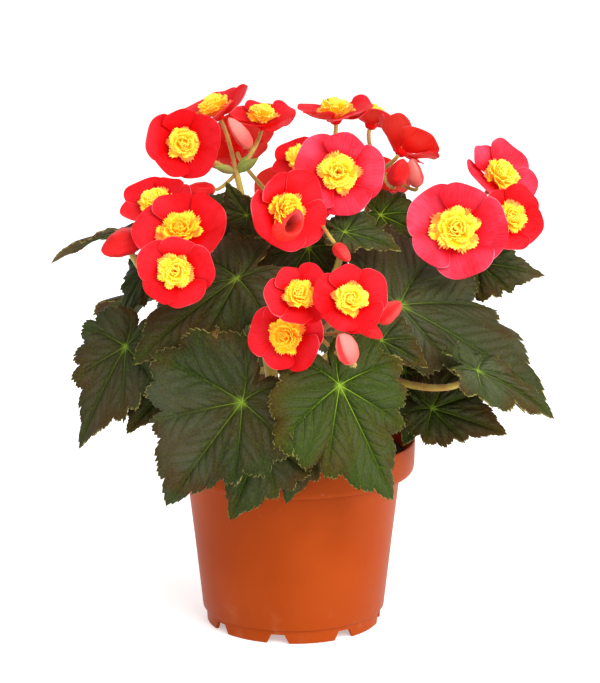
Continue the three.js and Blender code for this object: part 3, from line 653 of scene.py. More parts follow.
# %% Peat and perlite finishes
peat = Finish("moist_peat", Specular_IOR_Level=0.25)
fibre = peat.noise(700, 5)
patch = peat.noise(60, 3)
tone = peat.layers(
    "#1f1510",
    (patch.between(0.4, 0.6), "#33241a"),
    (fibre.between(0.5, 0.7) * 0.6, "#5a3f2a"),
)
peat.set(Base_Color=tone, Roughness=0.85 + 0.1 * fibre)
peat.bump(fibre + 0.5 * peat.noise(1600, 2), 0.8, 0.6)
mineral = Finish("perlite", Specular_IOR_Level=0.3)
speck = mineral.noise(1500, 2)
mineral.set(Base_Color=mineral.mix(speck, "#b9b2a4", "#e6e1d6"), Roughness=0.8 + 0.1 * speck)
mineral.bump(speck, 0.5, 0.3)
for obj, finish in ((soil, peat), (peat_crumbs, peat), (perlite, mineral)):
    coat(obj, finish)
    part_of_plant(obj, "potting_soil", "soil")

# %% [markdown]
# ## A leaf
#
# A begonia leaf is lopsided: one half is much broader than the other. Seven main veins run like fingers
# from the hub, where the stalk meets the blade from below, each to a lobe of the edge, and the edge is cut
# into teeth. Between the veins the blade is slightly quilted. A flat round net is the best start, because
# its rays can follow the veins and its rings the edge. It is made by hand from a circle: the edge loop is
# extruded inwards, ring by ring, and the last ring is merged into the hub.

# %% A round net for leaves
LEAF_EDGE = [
    (-180, 0.18), (-168, 0.28), (-152, 0.36), (-134, 0.37), (-116, 0.45), (-100, 0.41), (-84, 0.5),
    (-68, 0.46), (-54, 0.54), (-41, 0.48), (-31, 0.6), (-21, 0.58), (-13, 0.72), (-7, 0.8), (0, 1),
    (8, 0.84), (16, 0.78), (26, 0.66), (35, 0.7), (42, 0.57), (50, 0.66), (64, 0.6), (76, 0.66),
    (92, 0.54), (108, 0.57), (126, 0.47), (144, 0.47), (164, 0.34), (180, 0.18),
]
EDGE_ANGLES, EDGE_RADII = np.array(LEAF_EDGE).T
EDGE_STEPS = len(LEAF_EDGE) - 1
MAIN_VEINS = [(-152, 0.36), (-84, 0.5), (-31, 0.6), (0, 1), (35, 0.7), (76, 0.66), (144, 0.47)]


def round_net(rays, rings):
    net = added(bpy.ops.mesh.primitive_circle_add, vertices=rays, radius=MM, fill_type="NOTHING")
    bpy.ops.object.mode_set(mode="EDIT")
    bpy.ops.mesh.select_all(action="SELECT")
    for ring in range(rings, 1, -1):
        bpy.ops.mesh.extrude_region_move()
        scale = (ring - 1) / ring
        bpy.ops.transform.resize(value=(scale, scale, 1), center_override=(0, 0, 0))
    bpy.ops.mesh.extrude_region_move()
    bpy.ops.mesh.merge(type="CENTER")
    bpy.ops.mesh.select_all(action="SELECT")
    bpy.ops.mesh.normals_make_consistent(inside=False)
    bpy.ops.object.mode_set(mode="OBJECT")
    if net.data.polygons[0].normal.z < 0:
        net.data.flip_normals()
    return net


RAYS_PER_STEP = 12
large_net = round_net(EDGE_STEPS * RAYS_PER_STEP, 12)
small_net = round_net(EDGE_STEPS * RAYS_PER_STEP // 2, 8)
print("leaf nets:", len(large_net.data.polygons), "and", len(small_net.data.polygons), "faces")

# %% [markdown]
# Each leaf is that net, stretched to the lobed outline, with teeth that point to the tip, and bent as in
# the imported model: the halves fold up from the midrib, the tip droops and the edge waves. The distance to
# the nearest vein is stored with each point: it dents the blade along the veins, and the material draws the
# veins from it.

# %% Shaping one leaf
SMALL_LEAF = 37
BIG_TOOTH = 0.03
FINE_TOOTH = 0.03
VEIN_CURVE = 0.12
QUILT = 0.02
# How much the blade sinks towards its tip and towards its sides.
TIP_DROOP = 0.16
SIDE_DROOP = 0.12
# Waves of the blade: height, how steeply they grow from the hub to the edge, how many go round it, and how
# much they differ from leaf to leaf.
WAVES = [(0.035, 3, 7, 0), (0.016, 2, 4, 1), (0.01, 4, 23, 2)]
LEAF_THICKNESS = 0.7


def saw(turns, per_step):
    """0 at the point of a tooth, 1 at its foot. The teeth lean towards the tip of the leaf."""
    share = (per_step * turns) % 1
    return np.where(turns < EDGE_STEPS / 2, (1 - share) % 1, share) ** 0.8


def leaf_outline(turns, phase):
    """The edge's angle and radius. Turns counts the edge's corners from the notch round to the notch."""
    angle = np.interp(turns, np.arange(EDGE_STEPS + 1), EDGE_ANGLES)
    radius = np.interp(turns, np.arange(EDGE_STEPS + 1), EDGE_RADII)
    uneven = 0.8 + 0.4 * np.sin(2.7 * np.floor(4 * turns) + phase)
    bite = BIG_TOOTH * saw(turns, 1) + FINE_TOOTH * uneven * saw(turns, 4)
    bulge = 0.022 * np.sin(math.pi * (turns % 1))
    return angle, radius + bulge - bite * np.clip(radius * 2, 0.5, 1)


def vein_distances(turn, radius, share):
    """For each point: how far the nearest main vein is, how far along that vein, and how near to halfway
    between two veins the point lies."""
    nearest, second = np.full(len(turn), 9.0), np.full(len(turn), 9.0)
    run = np.zeros(len(turn))
    for vein_angle, _ in MAIN_VEINS:
        curved = math.radians(vein_angle) * (1 + VEIN_CURVE * (1 - share))
        off = (turn - curved + math.pi) % (2 * math.pi) - math.pi
        away = np.where(np.abs(off) < math.pi / 2, radius * np.abs(np.sin(off)), radius + 1)
        closer = away < nearest
        second = np.where(closer, nearest, np.minimum(second, away))
        run = np.where(closer, radius * np.cos(off), run)
        nearest = np.where(closer, away, nearest)
    return nearest, run, nearest / np.maximum(second, 1e-6)


def shape_leaf(name, net, leaf, phase, fresh, powdery):
    _, hub, tip, faces, side, fold, narrow, halves = (leaf + USUAL_FOLD)[:8]
    hub, tip = np.array(hub, float), np.array(tip, float)
    length = np.linalg.norm(tip - hub)
    along = unit(tip - hub)
    up = unit(np.array(faces) - np.dot(faces, along) * along)
    left = np.cross(up, along) * side
    mesh = net.data.copy()
    flat = points_of(mesh)
    share = np.hypot(flat[:, 0], flat[:, 1])
    turns = (np.arctan2(flat[:, 1], flat[:, 0]) / (2 * math.pi) + 0.5) * EDGE_STEPS
    angle, radius = leaf_outline(np.round(turns * RAYS_PER_STEP) / RAYS_PER_STEP % EDGE_STEPS, phase)
    radius = radius * share
    turn = np.radians(angle)
    u, v = radius * np.cos(turn), radius * np.sin(turn)
    v = v * np.where(v < 0, halves[0], halves[1])
    gap, run, middle = vein_distances(turn, radius, share)
    rise = np.where(v < 0, narrow, fold) * np.abs(v) - TIP_DROOP * u * u - SIDE_DROOP * v * v
    for height, growth, count, shift in WAVES:
        rise += height * share**growth * np.sin(count * turn + shift * phase)
    rise += QUILT * ease(gap, 0, 0.07) * (1 - 0.7 * share**6)
    points = hub + length * (u[:, None] * along + v[:, None] * left + rise[:, None] * up)
    set_points(mesh, points)
    if side < 0:
        mesh.flip_normals()
    set_values(mesh, vein_gap=gap * length, vein_run=run * length, between_veins=middle, edge_share=share)
    set_values(mesh, leaf_tone=0.5 + 0.5 * math.sin(2.3 * phase), fresh_green=fresh, powdery=powdery)
    return new_object(name, mesh)


# How green the young leaves are: 0 is the dark bronze of an old leaf, 1 the fresh green of one that unrolls.
USUAL_GREEN = 0.05
FRESH_GREEN = {
    ("front", 1): 0.5, ("front", 2): 0.2, ("centre", 1): 0.3, ("right", 4): 0.25, ("top_left", 0): 0.5,
    ("top_right", 0): 0.6,
}
# How much grey lies on each leaf: partly the bloom of its down, partly a painted sheen that is strongest on
# a leaf that turns its face to the light.
USUAL_DOWN_AND_SHEEN = 0.25
DOWN_AND_SHEEN = {
    ("right", 1): 1.0, ("right", 4): 0.9, ("right", 3): 0.6, ("centre", 1): 0.9, ("front", 0): 0.5,
    ("front", 1): 0.3,
}

leaf_pieces = {}
for shoot, leaves in LEAVES.items():
    blades = []
    for number, leaf in enumerate(leaves):
        size = np.linalg.norm(np.subtract(leaf[1], leaf[2]))
        net = small_net if size < SMALL_LEAF else large_net
        fresh = FRESH_GREEN.get((shoot, number), USUAL_GREEN)
        powdery = DOWN_AND_SHEEN.get((shoot, number), USUAL_DOWN_AND_SHEEN)
        blades.append(shape_leaf("blade", net, leaf, 1.7 * number + len(shoot), fresh, powdery))
    leaf_pieces[shoot] = join("leaves_" + shoot, blades)
bpy.data.objects.remove(large_net)
bpy.data.objects.remove(small_net)
print("leaves shaped:", sum(len(o.data.polygons) for o in leaf_pieces.values()), "faces")

# %% [markdown]
# ### The leaf's finish
#
# The upper side is dark bronze-green with a satin gloss. It is greener along the veins, and browner in the
# fields between them and towards the edge. The main veins are pale green, no thicker than a thread, and
# thin out towards the edge. Side veins leave them at a slant and are lost halfway to the next vein, and a
# fine net fills the rest. Short down lies on the upper side as a greyish bloom. The same grey is also painted
# on as sheen: more of it on leaves that face the light, and on the bulges between the side veins. Parts of
# the rim show as a thin pale line. The underside is duller and paler.

# %% Leaf finish, upper and under side


def leaf_finish(name, colours, relief, relief_depth, gloss):
    field, shade, bloom, near_vein, vein, margin, rim = colours
    leaf = Finish(name, Specular_IOR_Level=0.04)
    gap, run, edge = leaf.stored("vein_gap"), leaf.stored("vein_run"), leaf.stored("edge_share")
    middle, leaf_tone = leaf.stored("between_veins"), leaf.stored("leaf_tone")
    fresh = leaf.stored("fresh_green")
    patch = leaf.noise(30, 3)
    flecks = leaf.noise(420, 3)
    # The grey of the down, together with a painted sheen: how much of it each leaf carries, in patches.
    powder = leaf.stored("powdery") * (0.2 + 0.8 * leaf.noise(19, 4).between(0.44, 0.64))
    ground = leaf.layers(
        field,
        (patch.between(0.4, 0.6) * 0.75 + 0.25 * leaf_tone, shade),
        (powder * 0.75, bloom),
        (flecks.between(0.45, 0.75) * 0.25, near_vein),
        (fresh * (0.45 + 0.35 * flecks), "#3c5612"),
        ((1 - gap.between(0.2, 4.5)) * (0.25 + 0.5 * fresh), near_vein),
        (edge.between(0.45, 0.98) * patch.between(0.4, 0.6) * 0.45, margin),
    )
    cells = {"Vector": leaf.place(), "Scale": 520.0}
    net = leaf.node("ShaderNodeTexVoronoi", {"feature": "DISTANCE_TO_EDGE"}, cells, output="Distance")
    mesh_line = 1 - net.between(0.0, 0.12)
    slant = ((run - 1.1 * gap) / 7.5 + 0.9 * leaf.noise(40, 1)).fraction()
    from_side_vein = (slant - 0.5).size() * 2
    inside = gap.between(0.3, 1.6) * (1 - middle.between(0.55, 0.95)) * (1 - edge.between(0.75, 0.97))
    side_vein = from_side_vein.between(0.93, 0.99) * inside
    pillow = (1 - from_side_vein * from_side_vein) * inside
    main_vein = (1 - (gap - 0.14 + 0.14 * edge).between(0.0, 0.2)) * (1 - edge.between(0.4, 0.85))
    tone = leaf.layers(
        ground,
        # Painted highlight: the bulges between the side veins are lightened with the grey, as if lit.
        (pillow * 0.16, bloom),
        (mesh_line * 0.06, vein),
        (side_vein * (0.1 + 0.35 * fresh), vein),
        (main_vein * (0.3 + fresh) * (1 - 0.75 * edge.between(0.05, 0.7)), vein),
        ((1 - edge.between(0.02, 0.12)) * (0.4 + 0.4 * fresh), vein),
        (edge.between(0.988, 0.998) * flecks.between(0.35, 0.6) * 0.6, rim),
    )
    leaf.set(Base_Color=tone, Roughness=gloss + 0.2 * patch + 0.1 * main_vein)
    valley = (1 - gap.between(0.0, 3.0)) * (1 - edge.between(0.6, 1.0))
    height = pillow - valley + relief * (0.3 * main_vein + 0.15 * side_vein) + 0.1 * flecks
    leaf.bump(height, 0.8, relief_depth)
    return leaf


# Colours of the field between the veins, its brown patches, the grey of the down and of the painted sheen,
# the green beside a vein, the vein, the margin and the rim.
UPPER_COLOURS = ("#1f240a", "#32200b", "#5c5c4c", "#2c4208", "#8cab34", "#46200c", "#b0a45c")
UNDER_COLOURS = ("#46562c", "#584630", "#5f664c", "#526438", "#8c9a62", "#6a4430", "#8a7a50")
upper = leaf_finish("begonia_leaf_upper", UPPER_COLOURS, -1, 0.9, 0.34)
under = leaf_finish("begonia_leaf_under", UNDER_COLOURS, 1, -0.7, 0.5)
for shoot, obj in leaf_pieces.items():
    thicken(obj, upper, under, LEAF_THICKNESS, offset=-1)
    shade_smooth(obj)
    part_of_plant(obj, "leaf_and_stem", "shoot_" + shoot)
print("leaves finished")

# %% [markdown]
# ## Stems and stalks
#
# The stems and stalks are round, fleshy and hairy. Each is a smooth path with a round bevel, which Blender
# turns into a tube, a little thicker where it starts. Leaf stalks meet the blade from below at the hub, and
# flower stalks meet the bloom from behind, so each path ends along the direction of what it carries.

# %% Paths
PATH_STEPS = np.linspace(0, 1, 14)
STEM_FOOT = 69
STEM_IN_SOIL = 88
STEM_CLEAR = 102
BLOOM_DEPTH = 4
# Radius at the start and at the end of each kind of stalk.
STEM_RADII = (3.8, 3.2)
SPRAY_RADII = (2.1, 1.7)
LEAF_STALK_RADII = (2.0, 1.6)
BLOOM_STALK_RADII = (1.15, 1.1)
BUD_STALK_RADII = (1.05, 0.9)


def bezier(points, steps=PATH_STEPS):
    """Points of a smooth curve from the first point to the last, drawn to those between them."""
    t = steps[:, None]
    points = np.array(points, float)
    if len(points) == 3:
        weights = [(1 - t) ** 2, 2 * t * (1 - t), t**2]
    else:
        weights = [(1 - t) ** 3, 3 * t * (1 - t) ** 2, 3 * t * t * (1 - t), t**3]
    return sum(w * p for w, p in zip(weights, points))


def arriving(start, end, direction, reach):
    start, end = np.array(start, float), np.array(end, float)
    before = end - reach * np.linalg.norm(end - start) * unit(direction)
    return bezier([start, before, end])


def bloom_base(bloom):
    return np.array(bloom[0], float) - BLOOM_DEPTH * unit(bloom[1])


def stalks_of(shoot):
    """Each path of a shoot, and its radius at the start and at the end."""
    (x, y), fork, spray, _ = SHOOTS[shoot]
    clear, fork, spray = np.array([x, y, STEM_CLEAR], float), np.array(fork, float), np.array(spray, float)
    stem = bezier([clear, clear + [0, 0, 0.3 * (fork[2] - STEM_CLEAR)], fork - 0.35 * (fork - clear), fork])
    found = [(np.vstack([[x, y, STEM_FOOT], [x, y, STEM_IN_SOIL], stem]), *STEM_RADII)]
    rising = np.append(fork[:2] + 0.3 * (spray[:2] - fork[:2]), (fork[2] + spray[2]) / 2)
    found.append((bezier([fork - [0, 0, 4], rising, spray]), *SPRAY_RADII))
    for at, hub, tip, faces, *_ in LEAVES[shoot]:
        along = unit(np.subtract(tip, hub))
        up = unit(np.array(faces) - np.dot(faces, along) * along)
        path = arriving(clear + at * (fork - clear), np.array(hub) - 0.5 * up, up, 0.35)
        found.append((path, *LEAF_STALK_RADII))
    for bloom in BLOOMS[shoot].values():
        path = arriving(spray, bloom_base(bloom) - 3.1 * unit(bloom[1]), bloom[1], 0.25)
        found.append((path, *BLOOM_STALK_RADII))
    for base, tip, _ in BUDS[shoot].values():
        direction = unit(np.subtract(tip, base))
        path = arriving(spray, np.array(base) - 0.1 * direction, direction, 0.2)
        found.append((path, *BUD_STALK_RADII))
    return found


# %% Tubes


def tubes(name, found):
    curve = bpy.data.curves.new(name, "CURVE")
    curve.dimensions = "3D"
    curve.bevel_depth = MM
    curve.bevel_resolution = 3
    curve.use_fill_caps = True
    tube = new_object(name, curve)
    coat(tube, stalk_skin)
    for path, start, end in found:
        spline = curve.splines.new("POLY")
        spline.points.add(len(path) - 1)
        spline.points.foreach_set("co", np.c_[path * MM, np.ones(len(path))].ravel())
        spline.points.foreach_set("radius", np.linspace(start, end, len(path)))
    select_only(tube)
    bpy.ops.object.convert(target="MESH")
    return bpy.context.object


# %% [markdown]
# The stalks are yellow-brown with reddish freckles, and the bracts fresh green with a blush. The hairs are
# pale and fine. They are what makes the stalks look soft against the light, so they are modelled: each is a
# three-sided cone a millimetre long that leans towards the tip of its stalk.

# %% Finishes of stalks, bracts and hairs


def skin_finish(name, base, blush, freckle):
    skin = Finish(name, Specular_IOR_Level=0.4)
    patch = skin.noise(70, 3)
    spots = skin.noise(520, 2)
    tone = skin.layers(base, (patch.between(0.4, 0.62), blush), (spots.between(0.58, 0.7) * 0.45, freckle))
    skin.set(Base_Color=tone, Roughness=0.42 + 0.15 * patch)
    skin.bump(spots + patch, 0.35, 0.3)
    return skin


stalk_skin = skin_finish("stalk", "#c4ae4e", "#b48c48", "#a0683e")
bract_skin = skin_finish("bract", "#83983c", "#988a48", "#965a3c")
stalk_hair = Finish("stalk_hair", Roughness=0.5, Specular_IOR_Level=0.3)
strand = stalk_hair.noise(300, 2)
stalk_hair.set(Base_Color=stalk_hair.mix(strand, "#c9b48e", "#e6d8c0"))

# %% Hairs
HAIRS_PER_MM = 2.2
HAIR_LENGTH = 1.1
HAIR_RADIUS = 0.07
HAIR_LEAN = 0.35
hair_chance = np.random.default_rng(11)


def along_path(at, distance, path):
    return np.stack([np.interp(at, distance, path[:, i]) for i in range(3)], axis=1)


def hairs(name, found):
    roots, leans = [], []
    for path, start, end in found:
        path = path[path[:, 2] > SOIL_LEVEL + 2]
        steps = np.linalg.norm(np.diff(path, axis=0), axis=1)
        total = steps.sum()
        distance = np.append(0, np.cumsum(steps))
        at = hair_chance.uniform(0.02, 0.97, int(total * HAIRS_PER_MM)) * total
        centre = along_path(at, distance, path)
        ahead = units(along_path(at + 0.3, distance, path) - centre)
        sideways = units(np.cross(ahead, hair_chance.normal(size=ahead.shape)))
        radius = np.interp(at, [0, total], [start, end])[:, None]
        roots.append(centre + 0.95 * radius * sideways)
        leans.append(sideways + HAIR_LEAN * ahead)
    root = np.concatenate(roots)
    lean = units(np.concatenate(leans))
    tip = root + lean * (HAIR_LENGTH * hair_chance.uniform(0.6, 1.3, len(root)))[:, None]
    side = units(np.cross(lean, [0.3, 0.5, 0.8]))
    other = np.cross(lean, side)
    thirds = (0, 2 * math.pi / 3, 4 * math.pi / 3)
    corners = [root + HAIR_RADIUS * (math.cos(a) * side + math.sin(a) * other) for a in thirds]
    points = np.stack([*corners, tip], axis=1).reshape(-1, 3)
    cone = np.array([(0, 1, 3), (1, 2, 3), (2, 0, 3), (2, 1, 0)])
    all_faces = (cone[None] + 4 * np.arange(len(root))[:, None, None]).reshape(-1, 3)
    mesh = bpy.data.meshes.new(name)
    mesh.from_pydata((points * MM).tolist(), [], all_faces.tolist())
    fuzz = new_object(name, mesh)
    coat(fuzz, stalk_hair)
    return fuzz


# %% [markdown]
# Where the flower stalks of the top left shoot part stand small green bracts, hollow like a boat's hull.
# Each is a ball drawn out to a point at both ends, flattened, and cupped.

# %% Bracts and the stems as a whole
BRACT_WIDTH = 5.5


def bract(base, tip):
    obj = added(bpy.ops.mesh.primitive_uv_sphere_add, segments=16, ring_count=12, radius=MM)
    ball = points_of(obj.data)
    share = np.clip((ball[:, 2] + 1) / 2, 0, 1)
    half = 0.5 * BRACT_WIDTH * np.sin(math.pi * share ** 0.85) ** 1.2 + 0.02
    around = ball[:, :2] / np.maximum(np.hypot(ball[:, 0], ball[:, 1]), 1e-6)[:, None]
    along = np.subtract(tip, base)
    x, y = half * around[:, 0], 0.45 * half * around[:, 1]
    points = np.stack([x, y + 0.12 * x * x, share * np.linalg.norm(along)], axis=1)
    turn = Vector((0, 0, 1)).rotation_difference(Vector(along.tolist()))
    set_points(obj.data, base + points @ np.array(turn.to_matrix()).T)
    coat(obj, bract_skin)
    shade_smooth(obj)
    return obj


hair_count = 0
for shoot, (_, _, spray, bract_tips) in SHOOTS.items():
    found = stalks_of(shoot)
    tube = tubes("stems_" + shoot, found)
    shade_smooth(tube)
    fuzz = hairs("hairs_" + shoot, found)
    hair_count += len(fuzz.data.polygons) // 4
    bracts = [bract(spray, tip) for tip in bract_tips]
    stems = join("stems_" + shoot, [tube, fuzz, *bracts])
    part_of_plant(stems, "leaf_and_stem", "shoot_" + shoot)
print("hairs:", hair_count)

# %% [markdown]
# ## A petal
#
# The outer petals are broad and round, narrow at the foot, thin, and slightly crimped along the edge. A
# square grid is the start, and its corners are drawn in until its outline is a circle, because a grid keeps
# its faces even where a round net would crowd them at the tip. The circle is then narrowed towards the foot.

# %% A grid drawn to a disc
petal_grid = added(bpy.ops.mesh.primitive_grid_add, x_subdivisions=15, y_subdivisions=15, size=2 * MM)
square = points_of(petal_grid.data)
x, y = square[:, 0], square[:, 1]
circle = np.stack([x * np.sqrt(1 - y * y / 2), y * np.sqrt(1 - x * x / 2), square[:, 2]], axis=1)
set_points(petal_grid.data, circle)
set_values(petal_grid.data, petal_edge=np.maximum(np.abs(x), np.abs(y)))
print("petal:", len(petal_grid.data.polygons), "faces")

# %% [markdown]
# Five petals stand round each bloom. Every petal lies with its left edge over its neighbour's right edge,
# as the slats of a fan do, so none passes through another. Their lift, width and crimp differ from petal to
# petal.

# %% Petals of one bloom
PETAL_THICKNESS = 0.45
# In shares of the bloom's radius: where a petal starts, how far it reaches from there, and half its width.
PETAL_START = 0.13
PETAL_REACH = 0.89
PETAL_HALF_WIDTH = 0.545
# How steeply a petal rises, how hollow it is, and how steeply it rises towards its left edge.
PETAL_LIFT = 0.14
PETAL_BOWL = 0.25
PETAL_SLANT = 0.14
# How long and how wide each petal of a bloom is beside the usual.
PETAL_SIZES = [(1, 1.12), (0.86, 0.96), (1, 1.15), (0.88, 1), (0.96, 1.08)]
petal_chance = np.random.default_rng(5)


def in_frame(points, base, facing, degrees):
    """Turns points from a bloom's own frame, where +Z is its facing, to their place on the plant."""
    forward = unit(facing)
    right = unit(np.cross([0, 0, 1], forward))
    over = np.cross(forward, right)
    turn = math.radians(degrees)
    x_axis = math.cos(turn) * right + math.sin(turn) * over
    y_axis = -math.sin(turn) * right + math.cos(turn) * over
    return base + points[:, :1] * x_axis + points[:, 1:2] * y_axis + points[:, 2:] * forward


def turned(points, angle):
    c, s = math.cos(angle), math.sin(angle)
    x, y, z = points.T
    return np.stack([x * c - y * s, x * s + y * c, z], axis=1)


def petals_of(key, bloom, seed):
    _, facing, radius, cup, spin = bloom
    made = []
    for k, (long, wide) in enumerate(PETAL_SIZES):
        mesh = petal_grid.data.copy()
        disc = points_of(mesh)
        out = (disc[:, 0] + 1) / 2
        beyond = ease(out, 0.3, 0.55)
        wider, longer, higher, more_bowl = petal_chance.uniform(-1, 1, 4)
        width = PETAL_HALF_WIDTH * (0.4 + 0.6 * ease(out, 0.0, 0.58))
        width = width * (1 + (wide * (1 + 0.06 * wider) - 1) * beyond)
        stretch = 1 + (long * (1 + 0.03 * longer) - 1) * beyond
        x = radius * (PETAL_START + PETAL_REACH * out * stretch)
        y = radius * width * disc[:, 1]
        reach = x - 3.2
        lift = PETAL_LIFT + cup + 0.06 * math.sin(2.4 * k) + 0.035 * higher
        bowl = PETAL_BOWL + 0.05 * more_bowl
        z = lift * reach + bowl * (reach**2 + y * y) / radius + PETAL_SLANT * y
        edge = ease(np.hypot(disc[:, 0] * 0.8 + 0.2, disc[:, 1]), 0.55, 1.0)
        crimp = np.sin(3.1 * np.arctan2(disc[:, 1], disc[:, 0]) + 2.1 * k + seed)
        z += edge * (0.5 * crimp + 0.3 * np.sin(5 * disc[:, 1] + seed + k) - 0.9 * ease(out, 0.7, 1.0))
        x += 0.5 * edge * np.sin(4 * disc[:, 1] + 2 * k + seed) * ease(out, 0.6, 1)
        petal = turned(np.stack([x, y, z], axis=1), k * 2 * math.pi / len(PETAL_SIZES))
        set_points(mesh, in_frame(petal, bloom_base(bloom), facing, spin))
        tone = 0.5 + 0.5 * math.sin(2.7 * k + seed)
        set_values(mesh, petal_out=out, petal_across=disc[:, 1], petal_tone=tone)
        made.append(new_object("petal", mesh))
    return join("petals_" + key, made)


# %% [markdown]
# The middle bloom has one petal that rolls up over its ruffle, round a small hollow whose inside is painted
# dark red as shade. It is a square grid again, wrapped round that hollow: it runs up on the outside, over a
# crest, and down into the hollow.

# %% The rolled petal
ROLLED_PETAL_ON = "b3"
ROLLED_CENTRE = (0.9, -6.6)
# From the outside to the bottom of the hollow: distance from its middle, and height over the bloom's base.
ROLLED_PROFILE = [(7.2, 3.5), (6.9, 8.0), (6.2, 10.6), (5.5, 11.3), (4.9, 10.6), (4.3, 7.0), (0.4, 3.0)]
# The hollow is longer one way, and this is how far that way is turned, in radians.
ROLLED_TURN = 0.9


def rolled_petal(bloom):
    petal = added(bpy.ops.mesh.primitive_grid_add, x_subdivisions=14, y_subdivisions=30, size=2 * MM)
    square = points_of(petal.data)
    inward, around = (square[:, 0] + 1) / 2, square[:, 1]
    angle = math.pi * around
    lower_left = 0.5 + 0.5 * np.cos(angle - math.pi)
    away, high = (np.interp(inward * 6, range(7), column) for column in np.transpose(ROLLED_PROFILE))
    away = away * (1 + 0.06 * np.sin(3 * angle)) + 3 * lower_left * (1 - ease(inward, 0.0, 0.5))
    high = high - 2.4 * lower_left * ease(high, 4, 10) + 0.4 * np.sin(2 * angle + 1) * ease(inward, 0.2, 0.5)
    ring = np.stack([1.15 * away * np.cos(angle), 0.82 * away * np.sin(angle), high], axis=1)
    ring = turned(ring, ROLLED_TURN) + [*ROLLED_CENTRE, 0]
    set_points(petal.data, in_frame(ring, bloom_base(bloom), bloom[1], 0))
    upper_right = 1 - lower_left
    pale = np.maximum(1 - ease(np.abs(inward - 0.5), 0.0, 0.1), upper_right * ease(inward, 0.5, 0.6))
    # Painted shade: how deep a point lies in the hollow, which darkens its colour.
    hollow = ease(inward - 0.08 * upper_right, 0.66, 0.9)
    set_values(petal.data, petal_out=0.9, petal_across=around, petal_edge=0.9 + 0.09 * pale)
    set_values(petal.data, petal_hollow=hollow, petal_tone=0.4)
    return petal


# %% [markdown]
# Behind the petals sits a small fleshy base. It starts as a cone without its tip, and a bevel rounds its
# brims.

# %% The base of one bloom
FOOT_CONE = {"vertices": 20, "radius1": 2.2 * MM, "radius2": 4 * MM, "depth": 3 * MM}
FOOT_BEVEL = 0.6
FOOT_DROP = 1.45


def flower_foot(bloom):
    foot = added(bpy.ops.mesh.primitive_cone_add, **FOOT_CONE)
    apply_modifier(foot, "BEVEL", width=FOOT_BEVEL * MM, segments=2, limit_method="ANGLE")
    points = points_of(foot.data) - [0, 0, FOOT_DROP]
    set_points(foot.data, in_frame(points, bloom_base(bloom), bloom[1], bloom[4]))
    set_values(foot.data, petal_out=0, petal_across=0, petal_tone=0, petal_edge=0)
    return foot


# %% [markdown]
# ### The petal's finish
#
# The petals are scarlet or rose, with a cool pink veil that lies on them like breath and is lost at the foot:
# partly their own tint, partly a painted sheen. Fine streaks run from foot to edge, and the rim is paler here
# and there. The backs are more orange.
# A petal is so thin that light comes through it. Here that light is painted: a little of its colour glows, so
# it shows even where it is shaded.

# %% Petal finishes


def petal_finish(name, deep, other, pale, pink_share, rim):
    # Painted light: a faint glow in the petal's own colour stands in for light coming through it.
    petal = Finish(name, Specular_IOR_Level=0.06, Emission_Strength=0.07)
    out, across = petal.stored("petal_out"), petal.stored("petal_across")
    edge, tone_share = petal.stored("petal_edge"), petal.stored("petal_tone")
    streak_place = petal.vector(across * 14, out * 1.6, tone_share * 9)
    streaks = petal.noise(1.0, 4, streak_place)
    cloud = petal.noise(48, 3)
    fine_streaks = petal.noise(1.0, 3, petal.vector(across * 55, out * 4, tone_share * 9))
    # The pink veil is partly the petal's own tint and partly a painted sheen.
    pink_veil_and_sheen = 0.1 + cloud.between(0.35, 0.65) * 0.55 + 0.35 * fine_streaks.between(0.35, 0.7)
    pink_veil_and_sheen = pink_veil_and_sheen * out.between(0.25, 0.7)
    tone = petal.layers(
        deep,
        (tone_share * 0.6, other),
        (pink_veil_and_sheen * pink_share, pale),
        ((1 - out.between(0.12, 0.4)) * 0.7, "#d80c0c"),
        (streaks.between(0.5, 0.7) * out.between(0.25, 0.6) * 0.22, deep),
        (edge.between(0.965, 0.998) * cloud.between(0.42, 0.62) * 0.7, rim),
        # Painted shade: the rolled petal's hollow is painted dark red inside.
        (petal.stored("petal_hollow") * 0.85, "#560a06"),
    )
    petal.set(Base_Color=tone, Emission_Color=tone, Roughness=0.5 + 0.15 * streaks)
    petal.bump(streaks + 0.5 * fine_streaks + 0.35 * petal.noise(1100, 2), 0.3, 0.3)
    return petal


scarlet = petal_finish("petal_scarlet", "#c80206", "#dc080a", "#e02c3a", 0.75, "#f46a72")
rose = petal_finish("petal_rose", "#cc0c1a", "#d61424", "#de4660", 1.0, "#f2849c")
petal_back = petal_finish("petal_back", "#e4140c", "#ee2c18", "#e4483e", 0.8, "#ee7c88")
print("petal finishes ready")

# %% Building all petals
SEED_STEP = 1.3
seed = 0
for key, bloom in ALL_BLOOMS.items():
    seed += SEED_STEP
    face = rose if key in ROSE_BLOOMS else scarlet
    petals = petals_of(key, bloom, seed)
    if key == ROLLED_PETAL_ON:
        petals = join("petals_" + key, [petals, rolled_petal(bloom)])
    thicken(petals, face, petal_back, PETAL_THICKNESS)
    foot = flower_foot(bloom)
    coat(foot, petal_back)
    petals = join("petals_" + key, [petals, foot])
    shade_smooth(petals, degrees=60)
    part_of_plant(petals, "petal_red", "petals_" + key)
bpy.data.objects.remove(petal_grid)
print("blooms with petals:", len(ALL_BLOOMS))

# %% [markdown]
# ## The ruffled centre
#
# What were stamens in a wild begonia are small broad petals here, packed into a dome. They follow each
# other in a spiral, as the scales of a cone do: the outermost lie flat, the next ones stand up and bend
# outwards, and the innermost bend inwards and close the middle. Their ends are frayed into scallops, and
# hardly two of them curl alike. Each is a square grid, whose rows are laid along a curve, fanned out, and
# curled across.

# %% One small petal and its spiral
RUFFLE_THICKNESS = 0.35
RUFFLES = 38
SPIRAL_STEP = 137.5
USUAL_RADIUS = 24
ruffle_grid = added(bpy.ops.mesh.primitive_grid_add, x_subdivisions=4, y_subdivisions=13, size=2 * MM)
